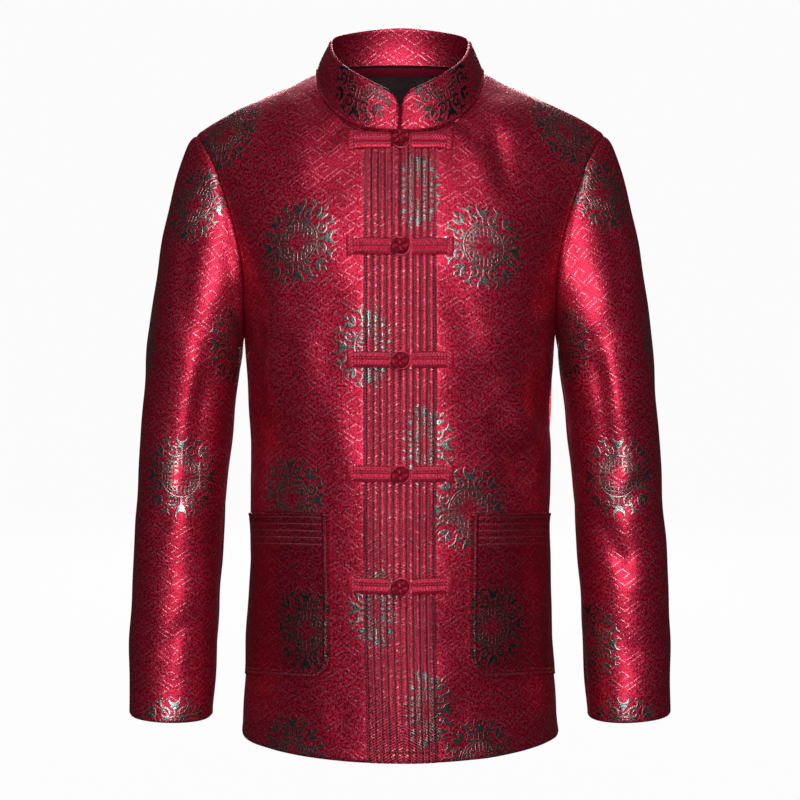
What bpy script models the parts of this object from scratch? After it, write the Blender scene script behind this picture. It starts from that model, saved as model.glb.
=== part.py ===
"""A men's mandarin collar jacket in its worn, hollow form.

Metres, +Z up. The origin lies midway between the two side neck points, where the
shoulders carry the jacket. The front faces -Y and +X is the wearer's left.
Every cloth piece is a closed wall: a grid of outer points, the same grid moved in
by the wall, and a rim between them. Pieces that are sewn together share the points
and the thickness direction of their seam, and each stands back half a seam gap.
"""
from collections import namedtuple

import bmesh
import bpy
import numpy as np

SEAM_GAP = 0.0003
WALL = 0.0024
COLLAR_WALL = 0.0028
FACING_WALL = 0.0012
FACING_GAP = 0.0007
FRONT_OPENING = 0.0008

HEM_Z = -0.728
ARMPIT_Z = -0.275
CHEST_Z = -0.195
ARMHOLE_HALF_DEPTH = 0.060
ARMHOLE_MIDDLE_Z = -0.165
EDGE_STRIP = 0.004

NECK_HALF_WIDTH = 0.090
NECK_FRONT_DEPTH = 0.095
NECK_BACK_DEPTH = 0.065
NECK_FRONT_DROP = 0.068
NAPE_RISE = 0.012
NAPE_RISE_POWER = 1.5
FRONT_DROP_POWER = 1.2
NECK_POWER = 2.4
NECK_LEAN_CENTRE = 0.36
NECK_LEAN_SIDE = 0.66
SHOULDER_TIP = (0.2232, 0.0, -0.0683)
SHOULDER_CROWN = 0.0075
SHOULDER_CROWN_SKEW = 1.5
SHOULDER_CROWN_ROUND = 0.6

COLLAR_TOP_HALF_WIDTH = 0.0750
COLLAR_TOP_FRONT_DEPTH = 0.083
COLLAR_TOP_BACK_DEPTH = 0.058
COLLAR_TOP_FRONT_Z = -0.0275
COLLAR_TOP_SIDE_Z = 0.034
COLLAR_TOP_BACK_Z = 0.0515
COLLAR_BACK_POWER = 1.6
COLLAR_CORNER = 0.016
COLLAR_CORNER_STEPS = (0.0, 0.09, 0.25, 0.5, 1.0)
COLLAR_FIRST_COLUMN = 0.026
COLLAR_ROWS = (0.0, 0.36, 0.70, 1.0)
COLLAR_BELLY = 0.0012

TUCKS = 5
TUCK_PITCH = 0.0071
TUCK_HEIGHT = 0.0013
TUCK_CREST = (0.27, 0.73)
BAND_WIDTH = FRONT_OPENING / 2 + TUCKS * TUCK_PITCH
NECK_SHARE = 0.47

SLEEVE_POWER = 2.1
CAP_END_Z = -0.320
CUFF_Z = -0.706
CUFF_RISE = 0.004

FROG_LEVELS = (-0.0765, -0.186, -0.303, -0.422, -0.540)
STRAP_HEIGHT = 0.0165
STRAP_END = 0.0555
LOOP_STRAP_START = 0.0101
KNOT_STRAP_START = 0.0126
KNOT_RADIUS = 0.0093
KNOT_HALF_DEPTH = 0.0078
KNOT_LOBES = 3
KNOT_LOBE_HEIGHT = 0.05
KNOT_TWIST = 2.4
KNOT_SEGMENTS = 12
KNOT_RINGS = 8
LOOP_SEGMENTS = 12
LOOP_SIDES = 5
LOOP_RADIUS = 0.0091
LOOP_CORD_RADIUS = 0.0012
LOOP_SHIFT = 0.0012
FROG_LIFT = 0.0008

POCKET_COLUMN = 2
POCKET_TOP_Z = -0.465
POCKET_BOTTOM_Z = -0.641
POCKET_SIDE_DROP = 0.017
POCKET_BOTTOM_DROP = 0.020
POCKET_DROP_POWER = 1.6
POCKET_SIDE_COLUMN = 1.25
POCKET_CORNER = 0.022
POCKET_WALL = 0.0016
POCKET_GAP = 0.0006
POCKET_ROWS_BETWEEN = (-0.600, -0.535)
POCKET_BORDER = 0.0065
POCKET_BORDER_HEIGHT = 0.0012
POCKET_BORDER_STEPS = (0.0, 0.23, 0.77, 1.0)
POCKET_BORDER_SHARES = (0.35, 1.0, 1.0, 0.0)
POCKET_RIBS = 5
POCKET_RIB_PITCH = 0.0069
POCKET_RIB_HEIGHT = 0.0009

Level = namedtuple("Level", "z half_width front_depth back_depth power")
TORSO = (
    Level(HEM_Z, 0.1755, 0.1520, 0.1390, 1.86),
    Level(-0.668, 0.1712, 0.1505, 0.1375, 1.85),
    Level(-0.600, 0.1677, 0.1490, 0.1340, 1.95),
    Level(-0.520, 0.1643, 0.1480, 0.1270, 2.05),
    Level(-0.440, 0.1650, 0.1480, 0.1225, 2.15),
    Level(-0.360, 0.1660, 0.1475, 0.1225, 2.25),
    Level(-0.310, 0.1685, 0.1470, 0.1235, 2.30),
    Level(-0.275, 0.1704, 0.1465, 0.1240, 2.35),
    Level(-0.235, 0.1745, 0.1448, 0.1238, 2.40),
    Level(-0.195, 0.1814, 0.1420, 0.1220, 2.40),
)
LOWER_LEVELS = (HEM_Z, -0.668, -0.600, -0.535, -0.470, -0.405, -0.350, -0.305, -0.280)
ARMHOLE_TURNS = (0.0, 22.5, 45.0, 67.5, 90.0)
UPPER_STEPS = (0.17, 0.34, 0.52, 0.70, 0.86, 1.0)

# Where a column lies on the cloth outside the tucks, as its share of the way from
# the tucks to the side. The column at NECK_SHARE ends on the side neck point.
FRONT_SHARES = (0.065, 0.137, 0.22, 0.30, 0.385, NECK_SHARE, 0.56, 0.65, 0.74, 0.83, 0.915)
BACK_SHARES = (0.0, 0.12, 0.24, 0.355, NECK_SHARE, 0.56, 0.65, 0.74, 0.83, 0.915)

# Direction of the cloth where it reaches the neckline and the shoulder seam:
# place is 0 at the centre, 1 at the side neck point and 2 at the shoulder tip.
Arrival = namedtuple("Arrival", "place out over up")
FRONT_ARRIVALS = (
    Arrival(0.0, 0.00, 0.45, 0.90),
    Arrival(0.5, -0.10, 0.60, 0.75),
    Arrival(1.0, -0.10, 0.90, 0.35),
    Arrival(1.5, 0.00, 1.00, 0.15),
    Arrival(2.0, 0.35, 1.00, 0.15),
)
BACK_ARRIVALS = (
    Arrival(0.0, 0.00, 0.50, 0.85),
    Arrival(0.5, -0.05, 0.65, 0.65),
    Arrival(1.0, -0.10, 0.90, 0.30),
    Arrival(1.5, 0.00, 1.00, 0.15),
    Arrival(2.0, 0.35, 1.00, 0.15),
)

SleeveRing = namedtuple("SleeveRing", "z inner_x outer_x half_depth middle_y")
SLEEVE = (
    SleeveRing(-0.320, 0.1752, 0.2785, 0.072, 0.004),
    SleeveRing(-0.400, 0.1857, 0.2857, 0.067, 0.004),
    SleeveRing(-0.500, 0.1947, 0.2928, 0.061, 0.000),
    SleeveRing(-0.600, 0.2015, 0.2971, 0.056, -0.006),
    SleeveRing(-0.706, 0.2070, 0.2999, 0.051, -0.014),
)
TUBE_LEVELS = (-0.365, -0.410, -0.460, -0.510, -0.560, -0.610, -0.660, CUFF_Z)
CAP_STEPS = (0.0, 0.06, 0.20, 0.38, 0.58, 0.79, 1.0)

# Direction in which the sleeve leaves the armhole: share runs from the armpit (0)
# to the shoulder tip (1); pull is its strength against the way to the cap's end.
Leaving = namedtuple("Leaving", "share out forward down pull")
LEAVINGS = (
    Leaving(0.00, 0.15, 0.00, 1.00, 0.9),
    Leaving(0.30, 0.30, 0.20, 0.92, 0.9),
    Leaving(0.55, 0.40, 0.32, 0.86, 0.8),
    Leaving(0.80, 0.58, 0.22, 0.78, 0.7),
    Leaving(1.00, 0.62, 0.00, 0.78, 0.6),
)

# A frog's strap: its thickness across its height, and its stations along its length.
StrapStation = namedtuple("StrapStation", "across thickness")
STRAP_SECTION = (
    StrapStation(-0.50, 0.0012),
    StrapStation(-0.40, 0.0031),
    StrapStation(-0.08, 0.0029),
    StrapStation(0.00, 0.0015),
    StrapStation(0.08, 0.0029),
    StrapStation(0.40, 0.0031),
    StrapStation(0.50, 0.0012),
)
STRAP_STATIONS = (0.021, 0.031, 0.041)
STRAP_TAB = 0.0075
STRAP_TAB_STEP = 0.0006
STRAP_FLARE = 1.14
STRAP_TAB_WALL = 0.0018

# The largest folds: a line from start to end seen from the front or the back,
# and a soft ridge (height above 0) or trough (below 0) along it. They start and
# end low, and die out where the cloth turns to the other face.
Fold = namedtuple("Fold", "piece face start_x start_z end_x end_z width height")
FOLD_END = 0.08
FOLD_ROUND = 0.6
FOLD_TURN = 0.02
FOLDS = (
    Fold("body", -1, -0.150, -0.250, -0.161, -0.430, 0.013, -0.0045),
    Fold("body", -1, -0.132, -0.235, -0.140, -0.350, 0.014, 0.0030),
    Fold("body", -1, 0.149, -0.245, 0.160, -0.440, 0.013, -0.0045),
    Fold("body", -1, 0.100, -0.375, 0.148, -0.448, 0.013, -0.0040),
    Fold("body", -1, 0.112, -0.340, 0.154, -0.405, 0.013, 0.0035),
    Fold("body", -1, 0.098, -0.060, 0.112, -0.115, 0.011, -0.0030),
    Fold("body", 1, -0.146, -0.235, -0.156, -0.450, 0.015, -0.0050),
    Fold("body", 1, -0.118, -0.225, -0.110, -0.420, 0.017, 0.0035),
    Fold("body", 1, 0.147, -0.230, 0.155, -0.430, 0.015, -0.0050),
    Fold("body", 1, 0.120, -0.240, 0.101, -0.440, 0.017, 0.0035),
    Fold("body", 1, 0.070, -0.520, 0.092, -0.690, 0.020, -0.0030),
    Fold("sleeve", -1, -0.203, -0.300, -0.222, -0.440, 0.012, -0.0040),
    Fold("sleeve", -1, 0.205, -0.290, 0.226, -0.420, 0.012, -0.0040),
    Fold("sleeve", -1, 0.215, -0.480, 0.246, -0.540, 0.013, -0.0030),
    Fold("sleeve", 1, -0.214, -0.330, -0.245, -0.470, 0.014, -0.0045),
    Fold("sleeve", 1, 0.212, -0.320, 0.247, -0.455, 0.014, -0.0045),
)

Finish = namedtuple("Finish", "colour roughness metallic")
FINISHES = {
    "brocade": Finish((0.36, 0.012, 0.035), 0.42, 0.0),
    "collar": Finish((0.40, 0.016, 0.045), 0.42, 0.0),
    "facing": Finish((0.30, 0.010, 0.030), 0.50, 0.0),
    "frog": Finish((0.46, 0.020, 0.055), 0.48, 0.0),
    "knot": Finish((0.26, 0.008, 0.024), 0.50, 0.0),
}


def smooth(value, knots, heights):
    """A smooth curve through the points (knot, height), read at value."""
    value = np.asarray(value, float)
    knots = np.asarray(knots, float)
    heights = np.asarray(heights, float)
    slopes = np.gradient(heights, knots)
    cell = np.clip(np.searchsorted(knots, value) - 1, 0, len(knots) - 2)
    width = knots[cell + 1] - knots[cell]
    t = (value - knots[cell]) / width
    return (
        (1 + 2 * t) * (1 - t) ** 2 * heights[cell]
        + t * (1 - t) ** 2 * width * slopes[cell]
        + t * t * (3 - 2 * t) * heights[cell + 1]
        + t * t * (t - 1) * width * slopes[cell + 1]
    )


def table_read(rows, key, name, value):
    """One column of a table, read smoothly at a value of its key column."""
    knots = [getattr(row, key) for row in rows]
    return smooth(value, knots, [getattr(row, name) for row in rows])


def unit(vectors):
    """Vectors brought to length one."""
    vectors = np.asarray(vectors, float)
    return vectors / np.linalg.norm(vectors, axis=-1, keepdims=True)


def hermite(start, start_pull, end, end_pull, steps):
    """Curves from start to end points that leave and arrive along their pulls."""
    t = np.asarray(steps, float)[:, None, None]
    return (
        (1 + 2 * t) * (1 - t) ** 2 * start
        + t * (1 - t) ** 2 * start_pull
        + t * t * (3 - 2 * t) * end
        + t * t * (t - 1) * end_pull
    )


def length_along(points):
    """Running length of a line of points."""
    steps = np.linalg.norm(np.diff(points, axis=0), axis=1)
    return np.concatenate(([0.0], np.cumsum(steps)))


def read_along(points, lengths, wanted):
    """Points of a line at the wanted lengths."""
    return np.stack([np.interp(wanted, lengths, points[:, k]) for k in range(3)], axis=1)


def quarter(half_width, depth, power):
    """A quarter of a rounded outline in plan, from the centre to the side."""
    angle = np.linspace(0.0, np.pi / 2, 361)
    x = half_width * np.sin(angle) ** (2 / power)
    y = depth * np.cos(angle) ** (2 / power)
    return np.stack([x, y, np.zeros_like(x)], axis=1)


def tuck_columns():
    """Distances from the centre of the tucks' grooves and crests."""
    start = FRONT_OPENING / 2
    marks = start + (np.arange(TUCKS)[:, None] + np.array([0.0, *TUCK_CREST])) * TUCK_PITCH
    return np.append(marks.ravel(), BAND_WIDTH)


def tuck_heights():
    """Height of each tuck column above the plain cloth."""
    heights = np.tile([0.0, TUCK_HEIGHT, TUCK_HEIGHT], TUCKS)
    return np.append(heights, 0.0)


class Stations:
    """The columns of a body panel, from the centre to the side."""

    def __init__(self, back):
        self.back = back
        self.shares = np.array(BACK_SHARES if back else FRONT_SHARES)
        self.band = np.array([]) if back else tuck_columns()
        self.band_width = 0.0 if back else BAND_WIDTH

    def count(self):
        return len(self.band) + len(self.shares) + 2

    def places(self, end):
        """Distances from the centre where the cloth ends at the distance end."""
        free = end - self.band_width
        spread = self.band_width + self.shares * free
        return np.concatenate((self.band, spread, [end - EDGE_STRIP, end]))

    def neck_columns(self):
        """How many columns end on the neckline, the side neck point among them."""
        return len(self.band) + int(np.sum(self.shares <= NECK_SHARE))


def torso_row(stations, z, armhole_y):
    """One level row of a body panel, cut off at the armhole's distance from the side seam."""
    depth = "back_depth" if stations.back else "front_depth"
    facing = 1.0 if stations.back else -1.0
    line = quarter(
        table_read(TORSO, "z", "half_width", z),
        facing * table_read(TORSO, "z", depth, z),
        table_read(TORSO, "z", "power", z),
    )
    lengths = length_along(line)
    end = np.interp(armhole_y, np.abs(line[::-1, 1]), lengths[::-1])
    row = read_along(line, lengths, stations.places(end))
    row[:, 2] = z
    return row


def neckline(back):
    """The neckline from the centre to the side neck point, as a dense line."""
    depth = NECK_BACK_DEPTH if back else -NECK_FRONT_DEPTH
    line = quarter(NECK_HALF_WIDTH, depth, NECK_POWER)
    share = np.abs(line[:, 1] / depth)
    if back:
        line[:, 2] = NAPE_RISE * share ** NAPE_RISE_POWER
    else:
        line[:, 2] = -NECK_FRONT_DROP * share ** FRONT_DROP_POWER
    return line


def neck_edge(points):
    """Thickness direction and upward binormal of the neckline seam."""
    along = unit(np.gradient(points, axis=0))
    outward = np.stack([along[:, 1], -along[:, 0], np.zeros(len(points))], axis=1)
    outward *= np.sign(np.sum(outward * points, axis=1, keepdims=True))
    outward = unit(outward)
    side = np.clip(points[:, 0] / NECK_HALF_WIDTH, 0.0, 1.0)
    rise = (NECK_LEAN_CENTRE + (NECK_LEAN_SIDE - NECK_LEAN_CENTRE) * side ** 2)[:, None]
    direction = unit(outward * np.sqrt(1 - rise ** 2) + rise * np.array([0.0, 0.0, 1.0]))
    binormal = unit(np.cross(along, direction))
    return direction, binormal * np.sign(binormal[:, 2:3])


def shoulder_points(shares, back_off):
    """Points of the shoulder seam at shares of its length, less a distance."""
    start = np.array([NECK_HALF_WIDTH, 0.0, 0.0])
    tip = np.array(SHOULDER_TIP)
    way = tip - start
    share = shares - back_off / np.linalg.norm(way)
    points = start + share[:, None] * way
    bow = share ** SHOULDER_CROWN_SKEW * np.abs(np.sin(np.pi * share)) ** SHOULDER_CROWN_ROUND
    points[:, 2] += SHOULDER_CROWN * bow
    return points


def shoulder_direction():
    """Thickness direction of the shoulder seam, square to it."""
    way = np.array(SHOULDER_TIP) - np.array([NECK_HALF_WIDTH, 0.0, 0.0])
    return unit(np.array([-way[2], 0.0, way[0]]))


def top_row(stations):
    """The panel's top edge with thickness directions, binormals and places."""
    line = neckline(stations.back)
    lengths = length_along(line)
    directions, binormals = neck_edge(line)
    neck_shares = stations.shares[stations.shares <= NECK_SHARE] / NECK_SHARE
    free = lengths[-1] - stations.band_width
    wanted = np.concatenate((stations.band, stations.band_width + neck_shares * free))
    neck = read_along(line, lengths, wanted)
    neck_directions = unit(read_along(directions, lengths, wanted))
    neck_binormals = unit(read_along(binormals, lengths, wanted))

    outer_shares = (stations.shares[stations.shares > NECK_SHARE] - NECK_SHARE) / (1 - NECK_SHARE)
    shares = np.append(outer_shares, [1.0, 1.0])
    back_off = np.zeros(len(shares))
    back_off[-2] = EDGE_STRIP
    shoulder = shoulder_points(shares, back_off)
    shoulder_directions = np.tile(shoulder_direction(), (len(shares), 1))
    shoulder_binormals = np.tile([0.0, -1.0 if stations.back else 1.0, 0.0], (len(shares), 1))
    places = np.concatenate((wanted / lengths[-1], 1.0 + shares))
    return (
        np.vstack((neck, shoulder)),
        np.vstack((neck_directions, shoulder_directions)),
        np.vstack((neck_binormals, shoulder_binormals)),
        places,
    )


def arrivals(stations, places):
    """Directions in which the columns reach the panel's top edge."""
    rows = BACK_ARRIVALS if stations.back else FRONT_ARRIVALS
    facing = -1.0 if stations.back else 1.0
    parts = [table_read(rows, "place", name, places) for name in ("out", "over", "up")]
    return unit(np.stack([parts[0], facing * parts[1], parts[2]], axis=1))


def panel_base(stations):
    """The plain cloth of half a body panel on the +X side, rows from hem to top."""
    rows = [torso_row(stations, z, 0.0) for z in LOWER_LEVELS]
    for turn in np.radians(ARMHOLE_TURNS):
        z = CHEST_Z - (CHEST_Z - ARMPIT_Z) * np.cos(turn)
        rows.append(torso_row(stations, z, ARMHOLE_HALF_DEPTH * np.sin(turn)))
    chest = rows[-1]
    probe = 0.006
    below = torso_row(stations, CHEST_Z - probe, ARMHOLE_HALF_DEPTH)
    top, _, _, places = top_row(stations)
    reach = np.linalg.norm(top - chest, axis=1, keepdims=True)
    leave = unit(chest - below) * reach
    upper = hermite(chest, leave, top, arrivals(stations, places) * reach, UPPER_STEPS)
    return np.concatenate((np.stack(rows), upper))


ARMPIT_ROW = len(LOWER_LEVELS)


def armhole_ring():
    """The armhole of the +X side: armpit, up the front to the tip, down the back."""
    front = panel_base(Stations(back=False))[ARMPIT_ROW:, -1]
    back = panel_base(Stations(back=True))[ARMPIT_ROW:, -1]
    return np.vstack((front, back[-2:0:-1]))


def armhole_edge(ring):
    """Thickness direction of the armhole seam and the binormal towards the sleeve."""
    along = unit(np.roll(ring, -1, axis=0) - np.roll(ring, 1, axis=0))
    spread = ring - np.array([0.0, 0.0, ARMHOLE_MIDDLE_Z])
    spread[:, 0] = 0.0
    radial = unit(spread)
    lift = np.clip((ring[:, 2] - ARMPIT_Z) / (SHOULDER_TIP[2] - ARMPIT_Z), 0.0, 1.0)
    tip_tilt = shoulder_direction()[0] / shoulder_direction()[2]
    radial[:, 0] = tip_tilt * lift ** 2
    direction = unit(radial)
    binormal = unit(np.cross(along, direction))
    return direction, binormal * np.sign(binormal[:, 0:1])


def grid_normals(grid, closed=False):
    """Outward unit normals of a grid whose rows go up and whose columns go round."""
    if closed:
        across = np.roll(grid, -1, axis=1) - np.roll(grid, 1, axis=1)
    else:
        across = np.gradient(grid, axis=1)
    normals = np.cross(across, np.gradient(grid, axis=0))
    return unit(normals)


def fold_heights(points, piece):
    """Height of the largest folds at each point, from its place in front view."""
    heights = np.zeros(points.shape[:-1])
    for fold in FOLDS:
        if fold.piece != piece:
            continue
        start = np.array([fold.start_x, fold.start_z])
        way = np.array([fold.end_x, fold.end_z]) - start
        place = points[..., [0, 2]] - start
        share = np.clip(place @ way / (way @ way), 0.0, 1.0)
        distance = np.linalg.norm(place - share[..., None] * way, axis=-1)
        facing = np.clip(fold.face * points[..., 1] / FOLD_TURN, 0.0, 1.0)
        taper = np.sin(np.pi * np.clip(share, FOLD_END, 1 - FOLD_END)) ** FOLD_ROUND
        heights += fold.height * facing * taper * np.exp(-((distance / fold.width) ** 2))
    return heights


def half_panel(stations):
    """Base points, thickness directions and seam shifts of half a panel, on +X."""
    base = panel_base(stations)
    normals = grid_normals(base)
    if stations.back:
        normals = -normals
    _, top_directions, top_binormals, _ = top_row(stations)
    normals[0, :, 2] = 0.0
    normals[:, 0, 0] = 0.0
    normals = unit(normals)
    shift = np.zeros_like(base)

    neck_end = stations.neck_columns()
    seam_y = 1.0 if stations.back else -1.0
    normals[-1] = top_directions
    shift[-1, :neck_end] -= top_binormals[:neck_end]
    shift[-1, neck_end - 1:, 1] += seam_y

    directions, binormals = armhole_edge(armhole_ring())
    order = np.arange(len(UPPER_STEPS) + len(ARMHOLE_TURNS))
    if stations.back:
        order = -order
    normals[ARMPIT_ROW:, -1] = directions[order]
    shift[ARMPIT_ROW:, -1] -= binormals[order]
    normals[:ARMPIT_ROW, -1] = (1.0, 0.0, 0.0)
    shift[:ARMPIT_ROW + 1, -1, 1] += seam_y
    return base, normals, shift * SEAM_GAP / 2


def finish_material(name):
    """A plain material from the table of finishes."""
    finish = FINISHES[name]
    material = bpy.data.materials.get(name) or bpy.data.materials.new(name)
    material.use_nodes = True
    shader = material.node_tree.nodes["Principled BSDF"]
    shader.inputs["Base Color"].default_value = (*finish.colour, 1.0)
    shader.inputs["Roughness"].default_value = finish.roughness
    shader.inputs["Metallic"].default_value = finish.metallic
    material.diffuse_color = (*finish.colour, 1.0)
    return material


def add_object(name, mesh, finish):
    """Put a mesh in the jacket's collection under its node's name."""
    mesh.materials.append(finish_material(finish))
    piece = bpy.data.objects.new(name, mesh)
    bpy.data.collections["mandarin_collar_jacket"].objects.link(piece)
    return piece


def wall(name, outer, inner, finish, closed=False):
    """A closed cloth wall between an outer and an inner grid of equal size."""
    rows, columns = outer.shape[:2]
    index = np.arange(rows * columns).reshape(rows, columns)
    if closed:
        index = np.hstack((index, index[:, :1]))
    low_left, low_right = index[:-1, :-1], index[:-1, 1:]
    high_right, high_left = index[1:, 1:], index[1:, :-1]
    halves = [(low_left, low_right, high_right), (low_left, high_right, high_left)]
    sheet = np.vstack([np.stack(half, axis=-1).reshape(-1, 3) for half in halves])
    edges = [index[0], index[-1][::-1]]
    if not closed:
        edges += [index[::-1, 0], index[:, -1]]
    under = rows * columns
    rims = [
        np.stack((edge[:-1], edge[:-1] + under, edge[1:] + under, edge[1:]), axis=-1)
        for edge in edges
    ]
    faces = sheet.tolist() + (sheet[:, ::-1] + under).tolist() + np.vstack(rims).tolist()
    points = np.vstack((outer.reshape(-1, 3), inner.reshape(-1, 3)))
    mesh = bpy.data.meshes.new(name)
    mesh.from_pydata(points.tolist(), [], faces)
    shape = bmesh.new()
    shape.from_mesh(mesh)
    bmesh.ops.recalc_face_normals(shape, faces=shape.faces)
    shape.to_mesh(mesh)
    shape.free()
    mesh.shade_smooth()
    return add_object(name, mesh, finish)


def mirrored(grid):
    """A grid turned over to the -X side."""
    return grid * np.array([-1.0, 1.0, 1.0])


def front_grids(side):
    """Base, outward direction, outer and inner points of one front, side being +1 or -1."""
    stations = Stations(back=False)
    base, directions, shift = half_panel(stations)
    if side < 0:
        base, directions, shift = mirrored(base), mirrored(directions), mirrored(shift)
    folds = fold_heights(base, "body")[..., None] * directions
    plain = base + shift + folds
    raised = np.zeros(stations.count())
    raised[:len(stations.band)] = tuck_heights()
    outer = plain + raised[None, :, None] * directions
    return plain, directions, outer, plain - WALL * directions


def make_fronts():
    """Two fronts with five pin tucks each beside the front opening."""
    grids = {}
    for side, name in ((1, "front_left"), (-1, "front_right")):
        grids[side] = front_grids(side)
        wall(name, grids[side][2], grids[side][3], "brocade")
    return grids


def make_back():
    """The back in one piece, folded out from its +X half."""
    base, directions, shift = half_panel(Stations(back=True))
    base = np.hstack((mirrored(base)[:, :0:-1], base))
    directions = np.hstack((mirrored(directions)[:, :0:-1], directions))
    shift = np.hstack((mirrored(shift)[:, :0:-1], shift))
    folds = fold_heights(base, "body")[..., None] * directions
    outer = base + shift + folds
    inner = outer - WALL * directions
    wall("back", outer, inner, "brocade")
    return inner, directions


def make_facing(inner, directions):
    """The facing strip inside the back neck, on the back's own inner points."""
    stations = Stations(back=True)
    middle = inner.shape[1] // 2
    reach = stations.neck_columns() - 2
    columns = slice(middle - reach, middle + reach + 1)
    top_gap = 0.10
    top = inner[-1, columns] * (1 - top_gap) + inner[-2, columns] * top_gap
    top_out = unit(directions[-1, columns] * (1 - top_gap) + directions[-2, columns] * top_gap)
    out = np.stack((directions[-2, columns], top_out))
    outer = np.stack((inner[-2, columns], top)) - FACING_GAP * out
    wall("back_neck_facing", outer, outer - FACING_WALL * out, "facing")


def sleeve_ring(z, shares):
    """A level ring of the +X sleeve at shares of its girth, from its inner side forward."""
    inner_x = table_read(SLEEVE[::-1], "z", "inner_x", z)
    outer_x = table_read(SLEEVE[::-1], "z", "outer_x", z)
    half_depth = table_read(SLEEVE[::-1], "z", "half_depth", z)
    middle_y = table_read(SLEEVE[::-1], "z", "middle_y", z)
    angle = np.linspace(0.0, 2 * np.pi, 721)
    across = np.sign(np.cos(angle)) * np.abs(np.cos(angle)) ** (2 / SLEEVE_POWER)
    along = np.sign(np.sin(angle)) * np.abs(np.sin(angle)) ** (2 / SLEEVE_POWER)
    x = (inner_x + outer_x) / 2 - (outer_x - inner_x) / 2 * across
    y = middle_y - half_depth * along
    line = np.stack([x, y, np.full_like(x, z)], axis=1)
    lengths = length_along(line)
    return read_along(line, lengths, np.asarray(shares) * lengths[-1])


def sleeve_grids(side):
    """Outer and inner points of one sleeve, rows from the armhole to the cuff."""
    ring = armhole_ring()
    directions, binormals = armhole_edge(ring)
    closed_ring = np.vstack((ring, ring[:1]))
    lengths = length_along(closed_ring)
    shares = lengths[:-1] / lengths[-1]
    end = sleeve_ring(CAP_END_Z, shares)
    probe = 0.02
    arrive = unit(sleeve_ring(CAP_END_Z - probe, shares) - end)
    reach = np.linalg.norm(end - ring, axis=1, keepdims=True)
    half_way = shares * 2
    place = np.where(half_way > 1.0, 2.0 - half_way, half_way)
    forward = np.where(half_way > 1.0, 1.0, -1.0)
    leave = unit(np.stack([
        table_read(LEAVINGS, "share", "out", place),
        forward * table_read(LEAVINGS, "share", "forward", place),
        -table_read(LEAVINGS, "share", "down", place),
    ], axis=1))
    pull = table_read(LEAVINGS, "share", "pull", place)[:, None]
    cap = hermite(ring, leave * pull * reach, end, arrive * reach, CAP_STEPS)
    tube = np.stack([sleeve_ring(z, shares) for z in TUBE_LEVELS])
    girth_x = tube[-1, :, 0]
    tube[-1, :, 2] += CUFF_RISE * (girth_x - girth_x.min()) / np.ptp(girth_x)
    base = np.concatenate((cap, tube))

    normals = grid_normals(base[::-1], closed=True)[::-1]
    outward = np.sign(np.sum(normals[-1] * (base[-1] - base[-1].mean(axis=0)), axis=-1))
    normals = normals * outward[0]
    normals[-1, :, 2] = 0.0
    normals[0] = directions
    normals = unit(normals)
    shift = np.zeros_like(base)
    shift[0] = binormals * SEAM_GAP / 2
    if side < 0:
        base, normals, shift = mirrored(base), mirrored(normals), mirrored(shift)
    folds = fold_heights(base, "sleeve")
    folds[0] = 0.0
    outer = base + shift + folds[..., None] * normals
    return outer, outer - WALL * normals


def make_sleeves():
    """Two set-in sleeves that hang beside the body."""
    for side, name in ((1, "sleeve_left"), (-1, "sleeve_right")):
        outer, inner = sleeve_grids(side)
        wall(name, outer, inner, "brocade", closed=True)


def collar_half(back):
    """Lower edge, top edge and seam directions of the collar, from centre to side."""
    stations = Stations(back)
    line = neckline(back)
    lengths = length_along(line)
    directions, binormals = neck_edge(line)
    top_depth = COLLAR_TOP_BACK_DEPTH if back else -COLLAR_TOP_FRONT_DEPTH
    top = quarter(COLLAR_TOP_HALF_WIDTH, top_depth, NECK_POWER)
    top_lengths = length_along(top)
    share = top_lengths / top_lengths[-1]
    if back:
        rise = share ** COLLAR_BACK_POWER
        top[:, 2] = COLLAR_TOP_BACK_Z + (COLLAR_TOP_SIDE_Z - COLLAR_TOP_BACK_Z) * rise
    else:
        top[:, 2] = COLLAR_TOP_FRONT_Z + (COLLAR_TOP_SIDE_Z - COLLAR_TOP_FRONT_Z) * share
    neck_shares = stations.shares[stations.shares <= NECK_SHARE] / NECK_SHARE
    free = lengths[-1] - stations.band_width
    if back:
        lead = np.array([])
    else:
        corner = FRONT_OPENING / 2 + COLLAR_CORNER * np.array(COLLAR_CORNER_STEPS)
        lead = np.concatenate((corner, [COLLAR_FIRST_COLUMN, BAND_WIDTH]))
    wanted = np.concatenate((lead, stations.band_width + neck_shares * free))
    return {
        "low": read_along(line, lengths, wanted),
        "high": read_along(top, share, wanted / lengths[-1]),
        "direction": unit(read_along(directions, lengths, wanted)),
        "binormal": unit(read_along(binormals, lengths, wanted)),
        "wanted": wanted,
    }


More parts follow.
